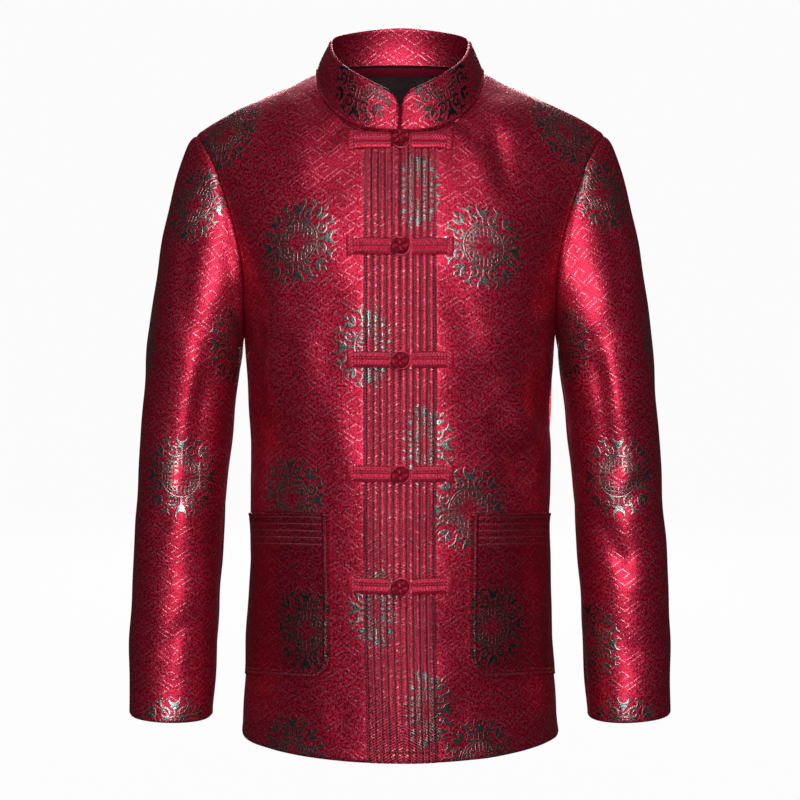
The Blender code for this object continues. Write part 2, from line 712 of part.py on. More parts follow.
def make_collar():
    """The stand collar in one band with rounded front corners."""
    front = collar_half(back=False)
    back = collar_half(back=True)
    height = np.linalg.norm(front["high"] - front["low"], axis=1)
    gone = np.clip(COLLAR_CORNER - (front["wanted"] - FRONT_OPENING / 2), 0.0, COLLAR_CORNER)
    cut = COLLAR_CORNER - np.sqrt(COLLAR_CORNER ** 2 - gone ** 2)
    front["high"] = front["low"] + (front["high"] - front["low"]) * (1 - cut / height)[:, None]
    whole = {}
    for key in ("low", "high", "direction", "binormal"):
        half = np.vstack((front[key], back[key][-2::-1]))
        whole[key] = np.vstack((half, mirrored(half)[-2::-1]))
    steps = np.array(COLLAR_ROWS)[:, None, None]
    base = whole["low"] + (whole["high"] - whole["low"]) * steps
    normals = grid_normals(base)
    normals *= np.sign(np.sum(normals[1, 0] * base[1, 0] * np.array([1.0, 1.0, 0.0])))
    base = base + COLLAR_BELLY * np.sin(np.pi * steps) * normals
    normals[0] = whole["direction"]
    base[0] += whole["binormal"] * SEAM_GAP / 2
    wall("collar", base, base - COLLAR_WALL * normals, "collar")


def grid_read(grid, directions, columns, levels):
    """Points and outward directions of a grid at fractional columns and levels z."""
    low = np.clip(np.floor(columns).astype(int), 0, grid.shape[1] - 2)
    share = (columns - low)[None, :, None]
    both = np.concatenate((grid, directions), axis=2)
    lines = both[:, low] * (1 - share) + both[:, low + 1] * share
    result = np.empty((levels.shape[0], len(columns), 6))
    for place in range(len(columns)):
        line = lines[:, place]
        rising = np.searchsorted(line[:, 2], levels[:, place]).clip(1, len(line) - 1)
        low_z = line[rising - 1, 2]
        step = ((levels[:, place] - low_z) / (line[rising, 2] - low_z))[:, None]
        result[:, place] = line[rising - 1] * (1 - step) + line[rising] * step
    return result[..., :3], unit(result[..., 3:])


def distance_columns(plain, distances, level_row):
    """Fractional columns that lie at distances from the centre in one row of a front."""
    row = plain[level_row]
    lengths = FRONT_OPENING / 2 + length_along(row)
    return np.interp(distances, lengths, np.arange(len(row)))


def make_pocket(name, grids):
    """A patch pocket on a front: raised border, five ribs under its top edge."""
    outer_grid, directions = grids[2], grids[1]
    columns_in_panel = outer_grid.shape[1]
    first = len(tuck_columns()) + POCKET_COLUMN - 1
    middle_row = LOWER_LEVELS.index(POCKET_ROWS_BETWEEN[0])
    row = outer_grid[middle_row]
    step = np.linalg.norm(row[first + 1] - row[first])
    border_steps = np.array(POCKET_BORDER_STEPS) * POCKET_BORDER
    inside = first + np.append(border_steps, POCKET_CORNER / 2) / step
    rest = np.arange(first + 1, columns_in_panel - 1)
    columns = np.concatenate((inside, rest, [columns_in_panel - POCKET_SIDE_COLUMN]))

    lengths = length_along(row)
    place = np.interp(columns, np.arange(columns_in_panel), lengths) - lengths[first]
    share = place / place[-1]
    top = POCKET_TOP_Z - POCKET_SIDE_DROP * share ** POCKET_DROP_POWER
    bottom = POCKET_BOTTOM_Z - POCKET_BOTTOM_DROP * share ** POCKET_DROP_POWER
    turn = np.clip(POCKET_CORNER - place, 0.0, POCKET_CORNER)
    bottom = bottom + POCKET_CORNER - np.sqrt(POCKET_CORNER ** 2 - turn ** 2)

    rib_steps = np.arange(POCKET_RIBS * 2 + 1) * POCKET_RIB_PITCH / 2
    low_rows = bottom + border_steps[:, None]
    high_rows = top - rib_steps[::-1, None]
    between = [np.full(len(columns), z) for z in POCKET_ROWS_BETWEEN]
    levels = np.vstack([low_rows] + between + [high_rows])

    under, out = grid_read(outer_grid, directions, columns, levels)
    raised = np.full(levels.shape, POCKET_WALL)
    border = np.array(POCKET_BORDER_SHARES) * POCKET_BORDER_HEIGHT
    edge = len(border)
    raised[:, :edge] += border[None, :]
    raised[:edge, edge:] += border[:, None]
    ribs = np.zeros(len(rib_steps))
    ribs[1::2] = POCKET_RIB_HEIGHT
    raised[-len(ribs):, edge:] += ribs[:, None]
    inner = under + POCKET_GAP * out
    wall(name, inner + raised[..., None] * out, inner, "brocade")


def make_strap(name, grids, start, z):
    """A frog's strap: two folded strips side by side and a flat, flared end tab."""
    plain, directions = grids[:2]
    tab = STRAP_END - STRAP_TAB
    distances = np.array([start, *STRAP_STATIONS, tab, tab + STRAP_TAB_STEP, STRAP_END])
    row = ARMPIT_ROW if z < CHEST_Z else plain.shape[0] - 2
    columns = distance_columns(plain, distances, row)
    on_tab = distances > tab
    across = np.array([station.across for station in STRAP_SECTION])
    thickness = np.array([station.thickness for station in STRAP_SECTION])
    levels = z + STRAP_HEIGHT * across[:, None] * np.where(on_tab, STRAP_FLARE, 1.0)
    under, away = grid_read(plain, directions, columns, levels)
    on_tucks = distances < BAND_WIDTH + EDGE_STRIP
    lift = FROG_LIFT + np.where(on_tucks, TUCK_HEIGHT, 0.0)
    inner = under + lift[None, :, None] * away
    thick = np.where(on_tab, STRAP_TAB_WALL, thickness[:, None])
    wall(name, inner + thick[..., None] * away, inner, "frog")


def make_knot(name, centre, away):
    """A ball knot: a sphere with three twisted lobes, flattened along its outward axis."""
    mesh = bpy.data.meshes.new(name)
    shape = bmesh.new()
    bmesh.ops.create_uvsphere(
        shape, u_segments=KNOT_SEGMENTS, v_segments=KNOT_RINGS, radius=1.0
    )
    points = np.array([vertex.co for vertex in shape.verts])
    around = np.arctan2(points[:, 1], points[:, 0])
    girth = np.hypot(points[:, 0], points[:, 1])
    turned = KNOT_LOBES * around + KNOT_TWIST * points[:, 2]
    lobes = 1 + KNOT_LOBE_HEIGHT * girth * np.cos(turned)
    placed = points * np.array([KNOT_RADIUS, KNOT_RADIUS, KNOT_HALF_DEPTH])
    placed[:, :2] *= lobes[:, None]
    right = np.array([1.0, 0.0, 0.0])
    axes = np.stack((right, np.cross(away, right), away))
    for vertex, place in zip(shape.verts, placed @ axes + centre):
        vertex.co = place
    bmesh.ops.recalc_face_normals(shape, faces=shape.faces)
    shape.to_mesh(mesh)
    shape.free()
    mesh.shade_smooth()
    add_object(name, mesh, "knot")


def make_loop(name, centre, tilt):
    """The cord loop that lies round the foot of the knot."""
    bpy.ops.mesh.primitive_torus_add(
        location=tuple(centre),
        rotation=(np.pi / 2 - tilt, 0.0, 0.0),
        major_segments=LOOP_SEGMENTS,
        minor_segments=LOOP_SIDES,
        major_radius=LOOP_RADIUS,
        minor_radius=LOOP_CORD_RADIUS,
    )
    ring = bpy.context.object
    ring.name = name
    ring.data.materials.append(finish_material("frog"))
    for collection in list(ring.users_collection):
        collection.objects.unlink(ring)
    bpy.data.collections["mandarin_collar_jacket"].objects.link(ring)


def make_frogs(grids):
    """Five frog closures: loop strap on the right front, knot strap on the left."""
    plain, directions = grids[1][0], grids[1][1]
    centre_column = np.array([0.0])
    for number, z in enumerate(FROG_LEVELS, start=1):
        points, aways = grid_read(plain, directions, centre_column, np.array([[z]]))
        seat = points[0, 0] * np.array([0.0, 1.0, 1.0])
        away = unit(aways[0, 0] * np.array([0.0, 1.0, 1.0]))
        lift = TUCK_HEIGHT + FROG_LIFT
        make_knot(f"frog_{number}_knot", seat + away * (lift + KNOT_HALF_DEPTH), away)
        ring_centre = seat + away * (lift + LOOP_CORD_RADIUS) + np.array([LOOP_SHIFT, 0.0, 0.0])
        make_loop(f"frog_{number}_loop", ring_centre, np.arctan2(away[2], -away[1]))
        make_strap(f"frog_{number}_loop_strap", grids[-1], LOOP_STRAP_START, z)
        make_strap(f"frog_{number}_knot_strap", grids[1], KNOT_STRAP_START, z)


def main():
    """Clear the scene and make the jacket."""
    for old in list(bpy.data.objects):
        bpy.data.objects.remove(old, do_unlink=True)
    collection = bpy.data.collections.new("mandarin_collar_jacket")
    bpy.context.scene.collection.children.link(collection)
    grids = make_fronts()
    inner, directions = make_back()
    make_facing(inner, directions)
    make_sleeves()
    make_collar()
    make_pocket("pocket_left", grids[1])
    make_pocket("pocket_right", grids[-1])
    make_frogs(grids)


main()
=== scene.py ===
"""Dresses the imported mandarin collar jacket: brocade walls, tucks, frogs, stitches and stage.

Metres, +Z up, the front faces -Y and +X is the wearer's left. Each cloth piece is a
closed wall between two grids of points, worked out from the jacket's sections and seams.
"""
from collections import namedtuple
from functools import reduce

import bmesh
import bpy
import numpy as np
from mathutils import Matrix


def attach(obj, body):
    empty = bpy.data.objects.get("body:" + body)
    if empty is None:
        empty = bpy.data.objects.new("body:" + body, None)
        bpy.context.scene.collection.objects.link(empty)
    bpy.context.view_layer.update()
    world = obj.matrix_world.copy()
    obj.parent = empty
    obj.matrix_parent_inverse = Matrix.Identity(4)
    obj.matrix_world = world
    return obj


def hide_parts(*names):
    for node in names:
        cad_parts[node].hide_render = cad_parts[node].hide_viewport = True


bl_info = {
    "name": "Mandarin Collar Jacket",
    "version": (1, 0, 0),
    "blender": (4, 5, 0),
    "location": "3D View > Sidebar > Jacket",
    "description": "Brocade jacket with pin tucks, patch pockets and frog closures",
    "category": "Add Mesh",
}

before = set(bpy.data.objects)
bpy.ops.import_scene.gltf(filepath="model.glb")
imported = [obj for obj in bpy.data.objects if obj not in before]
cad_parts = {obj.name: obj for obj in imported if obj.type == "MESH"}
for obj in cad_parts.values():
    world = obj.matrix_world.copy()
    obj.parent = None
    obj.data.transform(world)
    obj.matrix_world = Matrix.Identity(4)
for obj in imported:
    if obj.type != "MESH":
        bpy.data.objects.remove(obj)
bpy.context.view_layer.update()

# The jacket's cut, in metres.
SEAM_GAP = 0.0003
WALL = 0.0024
COLLAR_WALL = 0.0028
FACING_WALL = 0.0012
FACING_GAP = 0.0007
FRONT_OPENING = 0.0008
HEM_Z = -0.728
ARMPIT_Z = -0.275
CHEST_Z = -0.195
ARMHOLE_HALF_DEPTH = 0.060
ARMHOLE_MIDDLE_Z = -0.165
NECK_HALF_WIDTH = 0.090
NECK_FRONT_DEPTH = 0.095
NECK_BACK_DEPTH = 0.065
NECK_FRONT_DROP = 0.068
NAPE_RISE = 0.012
NAPE_RISE_POWER = 1.5
FRONT_DROP_POWER = 1.2
NECK_POWER = 2.4
NECK_LEAN_CENTRE = 0.36
NECK_LEAN_SIDE = 0.66
SHOULDER_TIP = (0.2232, 0.0, -0.0683)
SHOULDER_CROWN = 0.0075
SHOULDER_CROWN_SKEW = 1.5
SHOULDER_CROWN_ROUND = 0.6
COLLAR_TOP_HALF_WIDTH = 0.0750
COLLAR_TOP_FRONT_DEPTH = 0.083
COLLAR_TOP_BACK_DEPTH = 0.058
COLLAR_TOP_FRONT_Z = -0.0275
COLLAR_TOP_SIDE_Z = 0.034
COLLAR_TOP_BACK_Z = 0.0515
COLLAR_BACK_POWER = 1.6
COLLAR_CORNER = 0.016
COLLAR_BELLY = 0.0012
TUCKS = 5
TUCK_PITCH = 0.0071
BAND_WIDTH = FRONT_OPENING / 2 + TUCKS * TUCK_PITCH
NECK_SHARE = 0.47
SLEEVE_POWER = 2.1
CAP_END_Z = -0.320
CUFF_Z = -0.706
CUFF_RISE = 0.004
CUFF_TILT_Z = -0.660
FROG_LEVELS = (-0.0765, -0.186, -0.303, -0.422, -0.540)
STRAP_HEIGHT = 0.0165
STRAP_END = 0.0555
STRAP_TAB = 0.0075
STRAP_FLARE = 1.14
LOOP_STRAP_START = 0.0101
KNOT_STRAP_START = 0.0126
FROG_LIFT = 0.0008
POCKET_TOP_Z = -0.465
POCKET_BOTTOM_Z = -0.641
POCKET_SIDE_DROP = 0.017
POCKET_BOTTOM_DROP = 0.020
POCKET_DROP_POWER = 1.6
POCKET_CORNER = 0.022
POCKET_WALL = 0.0016
POCKET_GAP = 0.0006

Level = namedtuple("Level", "z half_width front_depth back_depth power")
TORSO = (
    Level(HEM_Z, 0.1755, 0.1520, 0.1390, 1.86),
    Level(-0.668, 0.1712, 0.1505, 0.1375, 1.85),
    Level(-0.600, 0.1677, 0.1490, 0.1340, 1.95),
    Level(-0.520, 0.1643, 0.1480, 0.1270, 2.05),
    Level(-0.440, 0.1650, 0.1480, 0.1225, 2.15),
    Level(-0.360, 0.1660, 0.1475, 0.1225, 2.25),
    Level(-0.310, 0.1685, 0.1470, 0.1235, 2.30),
    Level(-0.275, 0.1704, 0.1465, 0.1240, 2.35),
    Level(-0.235, 0.1745, 0.1448, 0.1238, 2.40),
    Level(-0.195, 0.1814, 0.1420, 0.1220, 2.40),
)
# Direction of the cloth at its top edge: place is 0 at the centre, 1 at the side neck
# point and 2 at the shoulder tip.
Arrival = namedtuple("Arrival", "place out over up")
FRONT_ARRIVALS = (
    Arrival(0.0, 0.00, 0.45, 0.90),
    Arrival(0.5, -0.10, 0.60, 0.75),
    Arrival(1.0, -0.10, 0.90, 0.35),
    Arrival(1.5, 0.00, 1.00, 0.15),
    Arrival(2.0, 0.35, 1.00, 0.15),
)
BACK_ARRIVALS = (
    Arrival(0.0, 0.00, 0.50, 0.85),
    Arrival(0.5, -0.05, 0.65, 0.65),
    Arrival(1.0, -0.10, 0.90, 0.30),
    Arrival(1.5, 0.00, 1.00, 0.15),
    Arrival(2.0, 0.35, 1.00, 0.15),
)
SleeveRing = namedtuple("SleeveRing", "z inner_x outer_x half_depth middle_y")
SLEEVE = (
    SleeveRing(CUFF_Z, 0.2070, 0.2999, 0.051, -0.014),
    SleeveRing(-0.600, 0.2015, 0.2971, 0.056, -0.006),
    SleeveRing(-0.500, 0.1947, 0.2928, 0.061, 0.000),
    SleeveRing(-0.400, 0.1857, 0.2857, 0.067, 0.004),
    SleeveRing(CAP_END_Z, 0.1752, 0.2785, 0.072, 0.004),
)
# How the sleeve leaves the armhole: share runs from the armpit to the shoulder tip.
Leaving = namedtuple("Leaving", "share out forward down pull")
LEAVINGS = (
    Leaving(0.00, 0.15, 0.00, 1.00, 0.9),
    Leaving(0.30, 0.30, 0.20, 0.92, 0.9),
    Leaving(0.55, 0.40, 0.32, 0.86, 0.8),
    Leaving(0.80, 0.58, 0.22, 0.78, 0.7),
    Leaving(1.00, 0.62, 0.00, 0.78, 0.6),
)

# A crease: a line seen from the front (face -1) or the back (face 1), bowed sideways,
# with a soft ridge (height above 0) or trough (below 0) along it.
Crease = namedtuple("Crease", "piece face start_x start_z end_x end_z bow width height")
CREASES = [
    Crease(piece, face, *row)
    for piece, face, rows in (
        ("body", -1, (
            (-0.150, -0.250, -0.161, -0.430, 0.000, 0.013, -0.0045),
            (-0.132, -0.235, -0.140, -0.350, 0.000, 0.014, 0.0030),
            (0.149, -0.245, 0.160, -0.440, 0.000, 0.013, -0.0045),
            (0.100, -0.375, 0.148, -0.448, 0.000, 0.013, -0.0040),
            (0.112, -0.340, 0.154, -0.405, 0.000, 0.013, 0.0035),
            (0.098, -0.060, 0.112, -0.115, 0.000, 0.011, -0.0030),
        )),
        ("body", 1, (
            (-0.146, -0.235, -0.156, -0.450, 0.000, 0.015, -0.0050),
            (-0.118, -0.225, -0.110, -0.420, 0.000, 0.017, 0.0035),
            (0.147, -0.230, 0.155, -0.430, 0.000, 0.015, -0.0050),
            (0.120, -0.240, 0.101, -0.440, 0.000, 0.017, 0.0035),
            (0.070, -0.520, 0.092, -0.690, 0.000, 0.020, -0.0030),
        )),
        ("sleeve", -1, (
            (-0.203, -0.300, -0.222, -0.440, 0.000, 0.012, -0.0040),
            (0.205, -0.290, 0.226, -0.420, 0.000, 0.012, -0.0040),
            (0.215, -0.480, 0.246, -0.540, 0.000, 0.013, -0.0030),
        )),
        ("sleeve", 1, (
            (-0.214, -0.330, -0.245, -0.470, 0.000, 0.014, -0.0045),
            (0.212, -0.320, 0.247, -0.455, 0.000, 0.014, -0.0045),
        )),
        ("body", -1, (
            (0.046, -0.028, 0.083, -0.074, 0.004, 0.007, -0.0014),
            (-0.050, -0.036, -0.078, -0.080, -0.003, 0.008, -0.0010),
            (-0.058, -0.066, -0.050, -0.074, 0.000, 0.003, -0.0008),
            (-0.070, -0.250, -0.082, -0.455, 0.006, 0.016, -0.0013),
            (0.064, -0.220, 0.078, -0.450, -0.006, 0.018, -0.0012),
            (0.118, -0.430, 0.146, -0.380, 0.003, 0.008, -0.0016),
            (-0.150, -0.330, -0.118, -0.430, 0.006, 0.010, -0.0014),
            (-0.060, -0.650, -0.068, -0.725, 0.002, 0.014, -0.0012),
            (0.058, -0.645, 0.070, -0.727, -0.002, 0.015, -0.0014),
        )),
        ("body", 1, (
            (-0.030, -0.110, -0.105, -0.160, 0.008, 0.014, -0.0018),
            (0.030, -0.108, 0.108, -0.155, -0.008, 0.014, -0.0018),
            (-0.060, -0.330, -0.080, -0.560, 0.010, 0.018, -0.0020),
            (0.034, -0.300, 0.046, -0.520, -0.008, 0.018, -0.0016),
            (-0.040, -0.580, -0.052, -0.725, 0.006, 0.018, -0.0020),
        )),
        ("sleeve", -1, (
            (-0.214, -0.160, -0.232, -0.270, 0.008, 0.010, -0.0014),
            (0.218, -0.150, 0.236, -0.262, -0.008, 0.010, -0.0014),
            (-0.232, -0.455, -0.268, -0.505, 0.004, 0.010, -0.0018),
            (-0.226, -0.590, -0.262, -0.640, 0.004, 0.011, -0.0012),
            (0.240, -0.470, 0.276, -0.430, -0.004, 0.010, -0.0016),
            (0.232, -0.600, 0.270, -0.655, -0.003, 0.011, -0.0012),
        )),
        ("sleeve", 1, (
            (-0.226, -0.150, -0.250, -0.260, -0.008, 0.012, -0.0018),
            (0.226, -0.150, 0.252, -0.265, 0.008, 0.012, -0.0018),
            (-0.224, -0.500, -0.272, -0.540, 0.006, 0.011, -0.0022),
            (0.222, -0.490, 0.272, -0.535, -0.006, 0.011, -0.0022),
            (0.226, -0.590, 0.268, -0.625, 0.006, 0.011, -0.0016),
        )),
    )
    for row in rows
]
CREASE_END = 0.08
CREASE_ROUND = 0.6
CREASE_TURN = 0.02
CREASE_WAVER = 0.22
CREASE_WAVER_PACE = 9.0

# Slow waves that keep the cloth from lying perfectly even: turns a metre along u and v.
Wave = namedtuple("Wave", "along_u along_v phase height")
WAVES = (
    Wave(7.1, 3.3, 0.4, 0.00050),
    Wave(-5.2, 8.9, 1.9, 0.00038),
    Wave(13.7, 6.1, 3.1, 0.00022),
    Wave(9.3, -15.8, 4.4, 0.00016),
    Wave(24.1, 11.4, 0.9, 0.00009),
)

# Where a woven medallion lies, seen from the front (face -1) or the back (face 1).
Medallion = namedtuple("Medallion", "piece face x z")
MEDALLIONS = [
    Medallion(piece, face, *place)
    for piece, face, places in (
        ("front", -1, (
            (-0.1082, -0.1818), (0.0875, -0.1868), (0.0188, -0.1278), (-0.0320, -0.2900),
            (0.0262, -0.3918), (-0.0259, -0.5640), (0.0265, -0.6708), (-0.1151, -0.4516),
            (0.0734, -0.4608), (-0.1161, -0.7300), (0.0825, -0.7300), (0.1765, -0.0638),
            (-0.1867, -0.0691),
        )),
        ("pocket", -1, (
            (-0.1000, -0.5918), (0.0972, -0.5875),
        )),
        ("sleeve", -1, (
            (-0.2184, -0.1436), (0.2188, -0.1277), (-0.2362, -0.4353), (0.2367, -0.4353),
            (-0.1795, -0.2939), (0.1790, -0.2939), (-0.2444, -0.7200), (0.2450, -0.7200),
            (0.2080, -0.6200), (-0.2960, -0.2939), (0.2960, -0.2939),
        )),
        ("sleeve", 1, (
            (-0.2200, -0.1500), (0.2200, -0.1500), (-0.2360, -0.4353), (0.2360, -0.4353),
            (-0.2440, -0.7150), (0.2440, -0.7150),
        )),
        ("back", 1, (
            (-0.0950, -0.1700), (0.0950, -0.1700), (0.0000, -0.3000), (-0.0950, -0.4500),
            (0.0950, -0.4500), (0.0000, -0.5800), (-0.1000, -0.7200), (0.1000, -0.7200),
        )),
        ("collar", -1, (
            (-0.0400, -0.0115), (0.0460, -0.0115),
        )),
    )
    for place in places
]


def length(name, description, default):
    """A setting in metres."""
    return bpy.props.FloatProperty(
        name=name, description=description, default=default, unit="LENGTH"
    )


def colour(name, description, default):
    """A setting that holds a colour."""
    return bpy.props.FloatVectorProperty(
        name=name, description=description, default=default, subtype="COLOR"
    )


class JACKET_PG_cut(bpy.types.PropertyGroup):
    """Sizes of the cloth that a user would change."""

    tuck_height: length("Tuck height", "How far a pin tuck stands above the front", 0.0010)
    groove_depth: length(
        "Groove depth", "How far the stitched groove between two tucks lies below the front",
        0.0004,
    )
    tuck_take_up: length(
        "Tuck take-up", "Cloth hidden in each tuck, by which the woven pattern jumps", 0.0065
    )
    crease_depth: bpy.props.FloatProperty(
        name="Crease depth",
        description="Strength of the wearing creases",
        default=1.4,
        min=0.0,
        max=2.0,
        subtype="FACTOR",
    )
    seam_dip: length("Seam dip", "How far the cloth is drawn in along a sewn seam", 0.0011)
    stitch_pitch: length("Stitch length", "Distance from one stitch to the next", 0.0030)
    medallion_radius: length("Medallion radius", "Radius of the round woven medallions", 0.047)
    fret_cell: length("Fret cell", "Side of one hook of the woven fret", 0.0215)


class JACKET_PG_colours(bpy.types.PropertyGroup):
    """Colours of the jacket and its stage."""

    satin: colour("Satin", "Ground of the brocade", (0.440, 0.014, 0.046))
    sheen: colour("Fret line", "Thin woven lines of the fret", (0.900, 0.330, 0.405))
    yarn: colour("Medallion yarn", "Grey green yarn of the medallions", (0.215, 0.245, 0.225))
    strap: colour("Frog satin", "Folded strips of the frogs", (0.500, 0.015, 0.052))
    cord: colour("Knot cord", "Cord of the knots and loops", (0.460, 0.014, 0.044))
    # The lining's near-black colour is partly its own and partly painted shade of the jacket's
    # inside.
    lining: colour("Lining", "Dark lining inside the jacket", (0.018, 0.006, 0.008))
    facing: colour("Neck facing", "Strip inside the back neck", (0.240, 0.007, 0.026))
    floor: colour("Floor", "Pale studio floor and backdrop", (0.97, 0.97, 0.97))


class JACKET_PG_studio(bpy.types.PropertyGroup):
    """The camera and the soft lights."""

    camera_distance: length(
        "Camera distance", "From the camera to the middle of the jacket", 2.6
    )
    camera_rise: bpy.props.FloatProperty(
        name="Camera rise",
        description="Angle of the camera above the jacket's middle",
        default=float(np.radians(5.0)),
        subtype="ANGLE",
    )
    view_width: length("View width", "Width of the view at the jacket's middle", 0.88)
    light: bpy.props.FloatProperty(
        name="Light", description="Strength of all the lights together", default=1.0, min=0.0
    )
    surround: bpy.props.FloatProperty(
        name="Surround", description="Strength of the even light from all sides",
        default=0.035, min=0.0,
    )


TINY = 1e-12
QUARTER_STEPS = 361
RING_STEPS = 721


def smooth(value, knots, heights):
    """A smooth curve through the points (knot, height), read at value: cubic pieces whose
    slopes are the mean slopes about each knot."""
    value = np.asarray(value, float)
    knots = np.asarray(knots, float)
    heights = np.asarray(heights, float)
    slopes = np.gradient(heights, knots)
    cell = np.clip(np.searchsorted(knots, value) - 1, 0, len(knots) - 2)
    width = knots[cell + 1] - knots[cell]
    t = (value - knots[cell]) / width
    return (
        (1 + 2 * t) * (1 - t) ** 2 * heights[cell]
        + t * (1 - t) ** 2 * width * slopes[cell]
        + t * t * (3 - 2 * t) * heights[cell + 1]
        + t * t * (t - 1) * width * slopes[cell + 1]
    )


def table_read(rows, key, name, value):
    """One column of a table, read smoothly at a value of its key column."""
    knots = [getattr(row, key) for row in rows]
    return smooth(value, knots, [getattr(row, name) for row in rows])


def unit(vectors):
    """Vectors brought to length one."""
    vectors = np.asarray(vectors, float)
    return vectors / np.maximum(np.linalg.norm(vectors, axis=-1, keepdims=True), TINY)


def clamp(value):
    """Values held between 0 and 1."""
    return np.clip(value, 0.0, 1.0)


def bell(distance, width):
    """A soft bump: e to the minus square of distance over width."""
    return np.exp(-((distance / width) ** 2))


def bump(distance, shape):
    """A bump of a height at a place over a reach: height times the bell of distance less
    place over reach."""
    height, place, reach = shape
    return height * bell(distance - place, reach)


def rolled(distance, width):
    """How far an edge rolls off: (1 - distance / width) squared, and nothing beyond."""
    return clamp(1 - distance / width) ** 2


def corner_cut(distance, radius):
    """What a round corner takes off a square one at a distance from its side: radius
    minus the root of radius squared minus (radius - distance) squared."""
    gone = np.clip(radius - distance, 0.0, radius)
    return radius - np.sqrt(radius ** 2 - gone ** 2)


def hermite(start, start_pull, end, end_pull, steps):
    """Cubic curves from start to end points that leave and arrive along their pulls."""
    t = np.asarray(steps, float)[:, None, None]
    return (
        (1 + 2 * t) * (1 - t) ** 2 * start
        + t * (1 - t) ** 2 * start_pull
        + t * t * (3 - 2 * t) * end
        + t * t * (t - 1) * end_pull
    )


def length_along(points):
    """Running length of a line of points."""
    steps = np.linalg.norm(np.diff(points, axis=0), axis=1)
    return np.concatenate(([0.0], np.cumsum(steps)))


def read_along(points, lengths, wanted):
    """Points of a line at the wanted lengths."""
    return np.stack([np.interp(wanted, lengths, column) for column in points.T], axis=1)


def running(grid, axis):
    """Running length along a grid's columns (axis 0) or rows (axis 1), from zero."""
    steps = np.linalg.norm(np.diff(grid, axis=axis), axis=2)
    before = [(0, 0), (0, 0)]
    before[axis] = (1, 0)
    return np.cumsum(np.pad(steps, before), axis=axis)


def closed_round(grid):
    """A grid with its first column set again after its last."""
    return np.concatenate((grid, grid[:, :1]), axis=1)


def quarter(half_width, depth, power):
    """A quarter of a superellipse in plan, from the centre to the side: x is the half
    width times sine to the power 2/p, y the depth times cosine to the power 2/p."""
    angle = np.linspace(0.0, np.pi / 2, QUARTER_STEPS)
    x = half_width * np.sin(angle) ** (2 / power)
    y = depth * np.cos(angle) ** (2 / power)
    return np.stack([x, y, np.zeros_like(x)], axis=1)


def mirrored(grid):
    """A grid turned over to the -X side."""
    return grid * np.array([-1.0, 1.0, 1.0])


def grid_normals(grid, closed=False):
    """Unit normals of a grid: the cross product of its two directions."""
    if closed:
        across = np.roll(grid, -1, axis=1) - np.roll(grid, 1, axis=1)
    else:
        across = np.gradient(grid, axis=1)
    return unit(np.cross(across, np.gradient(grid, axis=0)))


# Body panels

TUCK_COLUMNS = 11
TUCK_ROUND = 4.6
TUCK_SHOULDER = 0.7
NEAR_COLUMNS = 34
FAR_COLUMNS = 42
FAR_CROWDING = 0.35
HEM_ROWS = (0.0, 0.0007, 0.0016, 0.0028)
LOWER_ROWS = 170
ARMHOLE_ROWS = 26
UPPER_ROWS = 64
LOWER_ROW_COUNT = len(HEM_ROWS) + LOWER_ROWS
PROBE = 0.006
EASE_ROUNDS = 140
EASE_DEPTH = 0.030
EASE_TUCK_COLUMNS = 12.0
EASE_SIDE_COLUMNS = 10.0
# Seams and rolled edges of the walls. Bumps are given as height, place and reach.
SEAM_BLEND = 0.006
SIDE_DIP_REACH = 0.0022
TOP_DIP_REACH = 0.0020
SEAM_SWELL = (0.0004, 0.006, 0.003)
EDGE_ROLL, EDGE_ROLL_REACH = 0.0010, 0.0022
HEM_SWELL = (0.0005, 0.004, 0.006)


class Stations:
    """The columns of half a body panel, from the centre to the side: even steps over the
    tucks, then shares of the way to the side that crowd towards the seam."""

    def __init__(self, back):
        self.back = back
        near = np.linspace(0.0, NECK_SHARE, NEAR_COLUMNS + 1)
        turn = np.linspace(0.0, np.pi / 2, FAR_COLUMNS + 1)[1:]
        even = (1 - FAR_CROWDING) * turn * 2 / np.pi
        far = NECK_SHARE + (1 - NECK_SHARE) * (FAR_CROWDING * np.sin(turn) + even)
        self.shares = np.concatenate((near, far))
        steps = np.arange(TUCKS * TUCK_COLUMNS) / TUCK_COLUMNS
        self.band = np.array([]) if back else FRONT_OPENING / 2 + steps * TUCK_PITCH
        self.band_width = 0.0 if back else BAND_WIDTH
        self.neck_columns = len(self.band) + NEAR_COLUMNS + 1

    def places(self, end):
        """Distances from the centre where the cloth ends at the distance end."""
        free = end - self.band_width
        return np.concatenate((self.band, self.band_width + self.shares * free))


def torso_row(stations, z, armhole_y):
    """One level row of a body panel, cut off at the armhole's distance from the side seam."""
    depth = "back_depth" if stations.back else "front_depth"
    facing = 1.0 if stations.back else -1.0
    line = quarter(
        table_read(TORSO, "z", "half_width", z),
        facing * table_read(TORSO, "z", depth, z),
        table_read(TORSO, "z", "power", z),
    )
    lengths = length_along(line)
    end = np.interp(armhole_y, np.abs(line[::-1, 1]), lengths[::-1])
    row = read_along(line, lengths, stations.places(end))
    row[:, 2] = z
    return row


def neckline(back):
    """The neckline from the centre to the side neck point, as a dense line."""
    depth = NECK_BACK_DEPTH if back else -NECK_FRONT_DEPTH
    line = quarter(NECK_HALF_WIDTH, depth, NECK_POWER)
    share = np.abs(line[:, 1] / depth)
    if back:
        line[:, 2] = NAPE_RISE * share ** NAPE_RISE_POWER
    else:
        line[:, 2] = -NECK_FRONT_DROP * share ** FRONT_DROP_POWER
    return line


